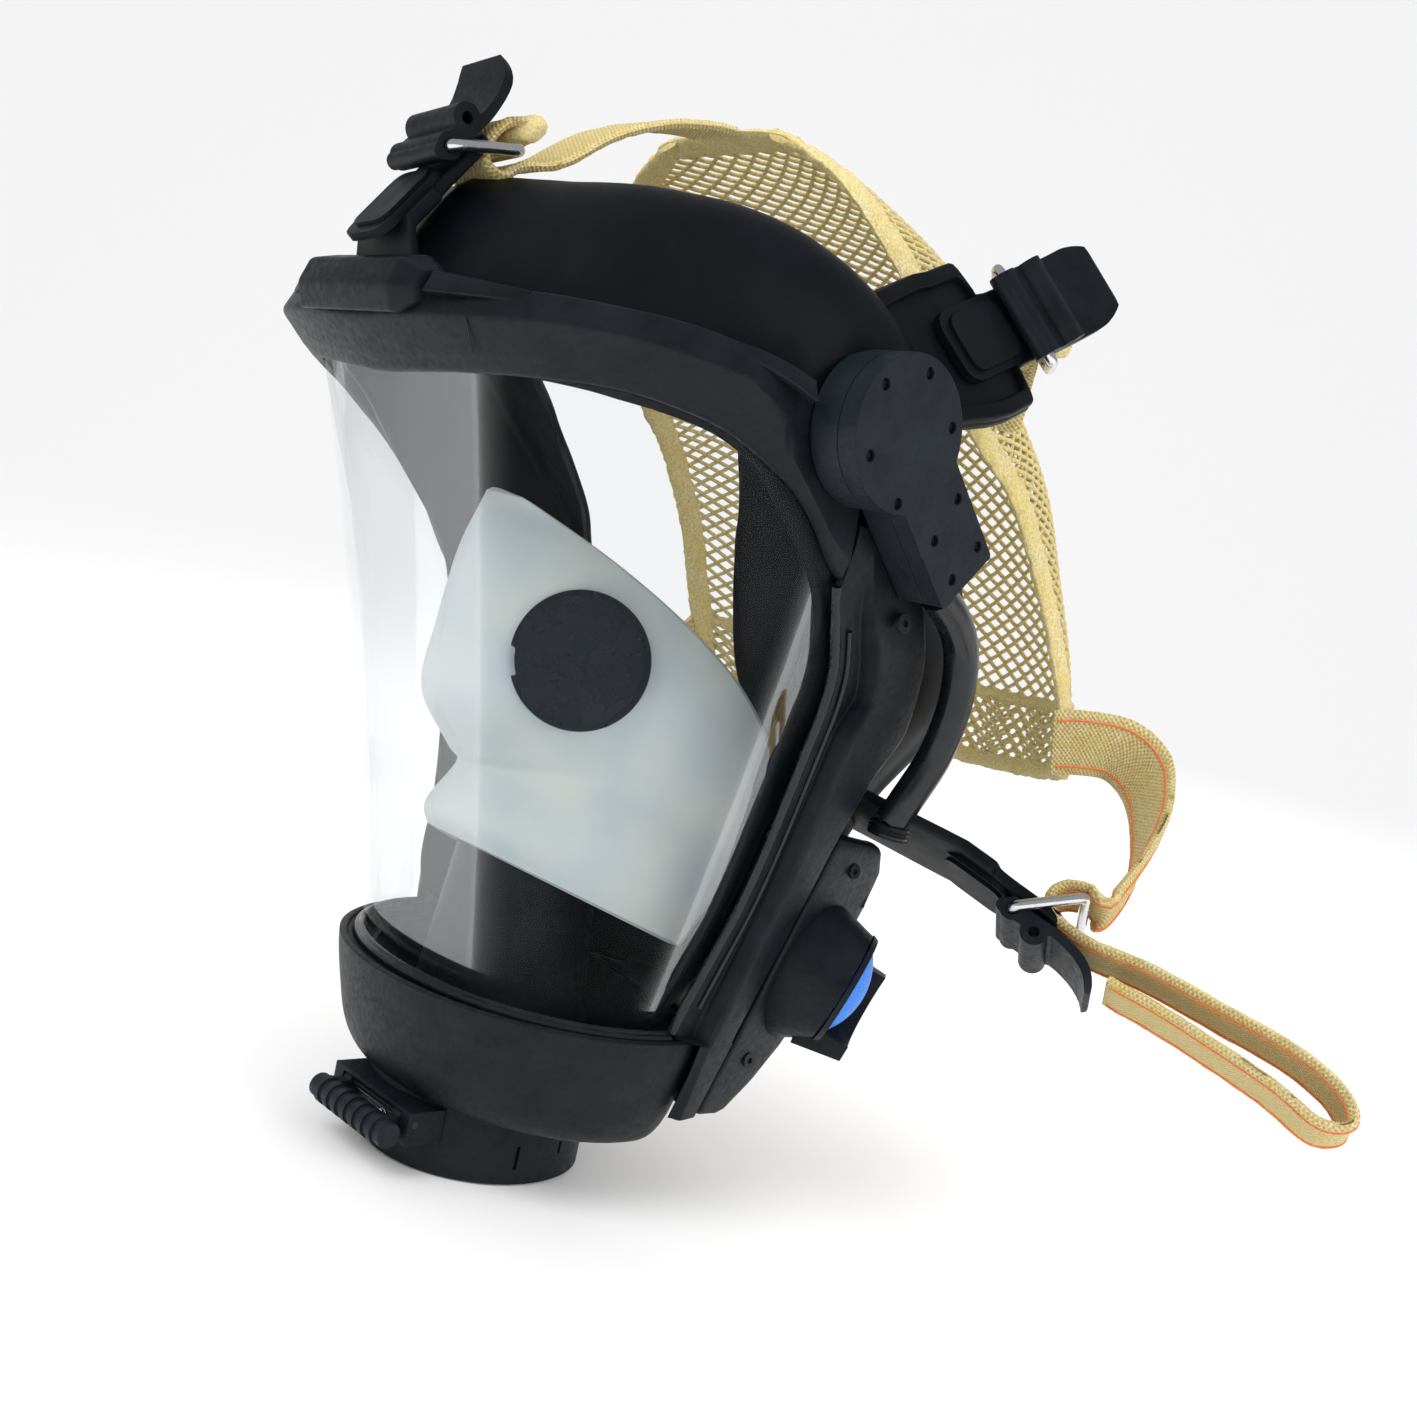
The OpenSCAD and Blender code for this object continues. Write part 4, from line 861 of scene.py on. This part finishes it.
def net_row(e, c):
    a = quarter * math.pi / 2
    k = (1 - np.cos(a))[:, None]
    return np.c_[e[0] * np.sin(a), np.full(len(a), c[1]), np.full(len(a), c[2])] + k * (vec(0, e[1], e[2]) - vec(0, c[1], c[2]))


net_rows = np.array([net_row(e, c) for e, c in zip(edge_line, mid_line)])
steps = np.linalg.norm(np.diff(net_rows, axis=1), axis=2)
net_across = np.concatenate([np.zeros((len(net_rows), 1)), np.cumsum(steps, axis=1)], axis=1)
middle = net_rows[:, len(quarter) // 2]
net_up = np.concatenate([[0], np.cumsum(np.linalg.norm(np.diff(middle, axis=0), axis=1))])
net_out = normals_of(net_rows)
if np.dot(net_out[60, 20], [0.5, 1, 0]) < 0:
    net_out = -net_out


def net_point(s, v, off=0.0):
    """Point of the net s millimetres from its middle line and v up from its lower edge."""
    i = float(np.interp(v, net_up, np.arange(len(net_up))))
    a, f = min(int(i), len(net_up) - 2), i - min(int(i), len(net_up) - 2)
    made = []
    for k in (a, a + 1):
        j = float(np.interp(abs(s), net_across[k], np.arange(len(quarter))))
        b, g = min(int(j), len(quarter) - 2), j - min(int(j), len(quarter) - 2)
        made.append(mix(net_rows[k, b] + off * net_out[k, b], net_rows[k, b + 1] + off * net_out[k, b + 1], g))
    p = mix(made[0], made[1], f)
    return p * [-1, 1, 1] if s < 0 else p


def net_half(v):
    return float(np.interp(v, net_up, net_across[:, -1]))


CELL_W, CELL_H, HEM = 3.3, 4.4, 8.0
TALL = net_up[-1]
strands = []
columns = int(np.max(net_across[:, -1]) / CELL_W) + 1
samples = np.arange(2.0, TALL - 1.0, CELL_H / 8)
widths = np.array([net_half(v) for v in samples])
for k in range(-columns, columns + 1):
    flip_side = 1 if k % 2 == 0 else -1
    run = []
    for v, width in zip(samples, widths):
        phase = 2 * math.pi * v / CELL_H
        wave = math.asin(0.97 * math.sin(phase)) / 1.33
        s = k * CELL_W + flip_side * CELL_W * 0.52 * wave
        if abs(s) < width - 1.0:
            run.append(net_point(s, v, 0.25 * flip_side * math.cos(phase)))
        else:
            if len(run) > 6:
                strands.append(tube(run, 0.64, 5))
            run = []
    if len(run) > 6:
        strands.append(tube(run, 0.64, 5))
for k in range(-2 * columns, 2 * columns + 1):
    flip_side = 1 if k % 2 == 0 else -1
    run = []
    for v in np.arange(1.0, 20, CELL_H / 8):
        phase = 2 * math.pi * v / CELL_H
        s = (k + 0.5) * CELL_W / 2 * 1.5 + flip_side * CELL_W * 0.6 * math.asin(0.97 * math.sin(phase + 1)) / 1.33
        if abs(s) < net_half(v) - 1.0:
            run.append(net_point(s, v, -0.45 + 0.25 * flip_side * math.cos(phase)))
    if len(run) > 6:
        strands.append(tube(run, 0.48, 5))
piece("net_mesh", *join(strands), FELT, "kevlar", stands_for=["head_net"], angle=80)


def band(points_a, points_b, thick, across=8):
    """Soft band between two lines, thick in the middle and thin at its edges."""
    a, b = np.asarray(points_a), np.asarray(points_b)
    ts = np.linspace(0, 1, across)
    grid = np.array([[mix(p, q, t) for t in ts] for p, q in zip(a, b)])
    n = normals_of(grid)
    h = (0.35 + 0.65 * np.sin(np.pi * ts) ** 0.5)[None, :, None] * thick / 2
    return shell(grid + n * h, grid - n * h, 0.4)


parts = []
vs = np.arange(0, TALL + 0.5, 1.3)
for s in (-1, 1):
    parts.append(band([net_point(s * (net_half(v) - HEM), v) for v in vs], [net_point(s * net_half(v), v) for v in vs], 3.0))
bottom = np.linspace(-net_half(1) + 1, net_half(1) - 1, 130)
parts.append(band([net_point(s, 0.2) for s in bottom], [net_point(s, 4.2) for s in bottom], 2.6, 6))
parts.append(band([net_point(s, 19) for s in bottom], [net_point(s, 22) for s in bottom], 2.2, 6))
top_line = np.linspace(-net_half(TALL) + 0.5, net_half(TALL) - 0.5, 40)
parts.append(band([net_point(s, TALL - 8) for s in top_line], [net_point(s, TALL) for s in top_line], 3.0))
hem = piece("net_hems", *join(parts), FELT, "kevlar", stands_for=["net_binding"], angle=70)
ruffle(hem, 0.55, 2.2, 5)

# ---------- straps ----------
STRAP_W, STRAP_T = 18.0, 2.0
THREAD = [[20.5, -3.4], [16, -0.6], [10, -0.6], [6.4, -3.6], [7.8, -7.8], [13, -9.4]]


def threaded(f):
    return [(at(f, 0, y, z), f[1]) for y, z in THREAD]


def strap(name, stations, body="mask", stands_for=(), seed=1.0, stitched=False):
    """Webbing through the stations, each a centre and a direction across, with rounded selvedges."""
    c = refine([p[0] for p in stations], 10)
    w = refine([p[1] for p in stations], 10)
    d = np.gradient(c, axis=0)
    runs = np.concatenate([[0], np.cumsum(np.linalg.norm(np.diff(c, axis=0), axis=1))])
    xs = np.concatenate([np.linspace(-1, 1, 15), np.linspace(1, -1, 15)])
    rings, uv = [], []
    for i, (p, across) in enumerate(zip(c, w)):
        t = unit(d[i])
        u = unit(across - t * np.dot(across, t))
        out = np.cross(t, u)
        ring = []
        for k, x in enumerate(xs):
            side = 1 if k < 15 else -1
            edge = 1 + 0.22 * math.exp(-(((abs(x) - 0.9) / 0.06) ** 2))
            h = STRAP_T / 2 * edge * max(0.0, 1 - abs(x) ** 26) ** 0.5
            ring.append(p + u * x * STRAP_W / 2 + out * side * h)
            uv.append((x * STRAP_W / 2, runs[i]))
        rings.append(ring)
    verts, faces = loft(rings)
    made = piece(name, verts, faces, WEB, "kevlar", body, stands_for, 50, uv)
    ruffle(made, 0.16, 2.5, seed)
    shapes = []
    if stitched:
        for x in (-6.4, 6.4):
            for i in range(2, len(c) - 5, 4):
                line = []
                for j in range(i, i + 5):
                    t = unit(d[j])
                    u = unit(w[j] - t * np.dot(w[j], t))
                    line.append([c[j] + u * x + np.cross(t, u) * h for h in (STRAP_T / 2 + 0.12, -STRAP_T / 2 - 0.12)])
                shapes += [tube([q[0] for q in line], 0.28, 6), tube([q[1] for q in line], 0.28, 6)]
    return made, (verts, faces, uv), shapes


def knot(f, y, z, seed):
    """Folded end of a strap, sewn into a lump behind the lever."""
    rings = []
    for t in np.linspace(0, 1, 26):
        x = (t - 0.5) * 21
        k = math.sqrt(max(0.02, 1 - (2 * t - 1) ** 8))
        rings.append([at(f, x, y + 4.2 * k * math.cos(q) + 0.8 * math.sin(7 * t + seed), z + 2.6 * k * math.sin(q) + 0.5 * math.cos(9 * t))
                      for q in np.linspace(0, 2 * math.pi, 20, False)])
    return loft(rings)


forehead = threaded(TOP) + [(vec(0, y, z), vec(1, 0, 0)) for y, z in ((-36, 233.5), (-23, 244), (-9, 251.5), (4, 255.6), (12, 257))]
strap("strap_forehead", forehead, stands_for=["forehead_strap"], seed=2.0)
temple = threaded(TEMPLE) + [(vec(69.5, 52.5, 211), unit([0.5, 0.46, -0.73])), (vec(66.5, 54.5, 200), unit([0.5, 0.48, -0.72]))]
cheek = [(vec(p), vec(w)) for p, w in (
    ([71.2, 106.5, 127.5], [-0.2, 0.1, -0.9]), ([76.6, 112, 129], [-0.24, 0.08, -0.9]), ([84, 119, 129], [-0.4, 0, -0.85]),
    ([92, 121, 123.5], [-0.52, 0, -0.75]), ([99.5, 115, 113.5], [-0.54, 0.2, -0.68]), ([105, 104.5, 102.5], [-0.48, 0.55, -0.6]))]
cheek += [(at(CHEEK, 0, y, z), CHEEK[1]) for y, z in (
    (15.5, -11.4), (10.6, -11), (6, -8.8), (4.2, -4.8), (6.6, -1.2), (12, 0.1), (20, -0.4), (32, -3.6), (50, -6), (68, -8),
    (80, -6.5), (85, -2), (80, 2.4), (68, 1.6), (52, 2.2), (40, 3), (31, 4.2), (26.8, 4.6))]
for name, stations, node, stitched in (("strap_temple", temple, "temple_strap", False), ("strap_cheek", cheek, "cheek_strap", True)):
    made, (verts, faces, uv), shapes = strap(name + "_left", stations, stands_for=[node + "_left"], seed=4.0, stitched=stitched)
    other = piece(name + "_right", np.asarray(verts) * [-1, 1, 1], [f[::-1] for f in faces], WEB, "kevlar",
                  stands_for=[node + "_right"], angle=50, uv=uv)
    ruffle(other, 0.16, 2.5, 6.0)
    if shapes:
        threads = join(shapes)
        piece("stitches_left", *threads, TRACER, "kevlar")
        piece("stitches_right", *mirrored(threads), TRACER, "kevlar")
lump = piece("strap_end_top", *knot(TOP, 20, -5.2, 0.4), FELT, "kevlar", angle=60)
ruffle(lump, 0.6, 2.4, 8)
for name, flip in (("strap_end_temple_left", False), ("strap_end_temple_right", True)):
    shape = knot(TEMPLE, 20, -5.2, 1.9)
    lump = piece(name, *(mirrored(shape) if flip else shape), FELT, "kevlar", angle=60)
    ruffle(lump, 0.6, 2.4, 9)

# ---------- finishes of the CAD nodes that stay ----------
KEPT = {
    "bezel_screws": (SCREW, "steel"), "nose_cup_adapter": (BLACK, "black_plastic"),
    "valve_seat_left": (VALVE, "black_plastic"), "valve_seat_right": (VALVE, "black_plastic"),
    "inhalation_flap_left": (VALVE, "valve_rubber"), "inhalation_flap_right": (VALVE, "valve_rubber"),
    "port_collar": (BLACK, "black_plastic"), "port_gasket": (GLOSS, "seal_rubber"), "port_latch": (SHADE, "black_plastic"),
    "latch_pin": (SCREW, "steel"), "latch_spring": (STEEL, "steel"), "amp_board": (BOARD, "board"),
    "amp_speaker": (CONE, "speaker"), "amp_battery": (CELL, "battery"), "amp_screws": (SCREW, "steel"),
    "button_guard": (BLACK, "black_plastic"), "power_button": (BLUE, "button_blue"),
    "button_spring": (STEEL, "steel"), "service_plug": (BLACK, "black_plastic"), "voice_diaphragm": (FOIL, "foil"),
    "voice_retainer": (CONE, "speaker"), "module_back": (SHADE, "module_plastic"), "module_front": (SHADE, "module_plastic"),
    "module_screws": (DARK, "steel"), "module_board": (BOARD, "board"),
}
for end in ("top", "temple_left", "temple_right", "cheek_left", "cheek_right"):
    KEPT["buckle_" + end] = (BLACK, "black_plastic")
    KEPT["loop_" + end] = (STEEL, "steel")
for node, (material, slot) in KEPT.items():
    CAD[node].data.materials.clear()
    CAD[node].data.materials.append(material)

# ---------- stage ----------
FLOOR_Z = cad_low.z - 0.0005
CURVE = 3.0
profile = [(-1.6, 0), (1.2, 0)] + [(1.2 + CURVE * math.sin(q), CURVE - CURVE * math.cos(q)) for q in np.linspace(0.04, math.pi / 2, 32)]
side = unit([0.69401, 0.71498, 0])
back = unit([-0.71498, 0.69401, 0])
verts = [vec(0, 0, FLOOR_Z) + back * p[0] + side * x + vec(0, 0, p[1]) for p in profile for x in (-6, 6)]
mesh = bpy.data.meshes.new("floor")
mesh.from_pydata([tuple(v) for v in verts], [], grid_faces(len(profile), 2))
mesh.shade_smooth()
floor = bpy.data.objects.new("floor", mesh)
bpy.context.scene.collection.objects.link(floor)
paper = Finish("pale_paper", Base_Color=(0.86, 0.86, 0.86, 1), Roughness=0.9)
floor.data.materials.append(paper.mat)

world = bpy.data.worlds.new("studio")
world.use_nodes = True
world.node_tree.nodes["Background"].inputs["Color"].default_value = (1, 1, 1, 1)
dimmer = world.node_tree.nodes.new("ShaderNodeMapRange")
dimmer.inputs["To Min"].default_value, dimmer.inputs["To Max"].default_value = 1.05, 0.4
rays = world.node_tree.nodes.new("ShaderNodeLightPath")
world.node_tree.links.new(rays.outputs["Is Glossy Ray"], dimmer.inputs["Value"])
world.node_tree.links.new(dimmer.outputs[0], world.node_tree.nodes["Background"].inputs["Strength"])
bpy.context.scene.world = world
bpy.context.scene.view_settings.view_transform = "Standard"


def area_light(name, at_point, towards, size, power):
    light = bpy.data.lights.new(name, "AREA")
    light.shape, light.size, light.energy = "DISK", size, power
    obj = bpy.data.objects.new(name, light)
    bpy.context.scene.collection.objects.link(obj)
    obj.location = at_point
    obj.rotation_euler = (Vector(towards) - Vector(at_point)).to_track_quat("-Z", "Y").to_euler()
    return obj


TARGET = (0, 0.03, 0.13)
area_light("key", (0.1, -0.9, 1.0), TARGET, 0.9, 9).visible_glossy = False
area_light("fill", (1.1, 0.2, 0.5), TARGET, 0.7, 5).visible_glossy = False
area_light("rear", (-0.7, 1.0, 0.9), TARGET, 0.7, 6).visible_glossy = False

camera = bpy.data.objects.new("camera", bpy.data.cameras.new("camera"))
bpy.context.scene.collection.objects.link(camera)
right, up, forward = (vec(v) for v in ((0.66822, 0.71393, 0.20924), (-0.20564, -0.09304, 0.97420), (-0.71498, 0.69401, -0.08464)))
turn = np.eye(4)
turn[:3, 0], turn[:3, 1], turn[:3, 2], turn[:3, 3] = right, up, -forward, vec(302.757, -243.113, 152.113) * MM
camera.matrix_world = Matrix(turn.tolist())
camera.data.lens, camera.data.sensor_width = 39.92, 36
camera.data.clip_start, camera.data.clip_end = 0.02, 20
bpy.context.scene.camera = camera
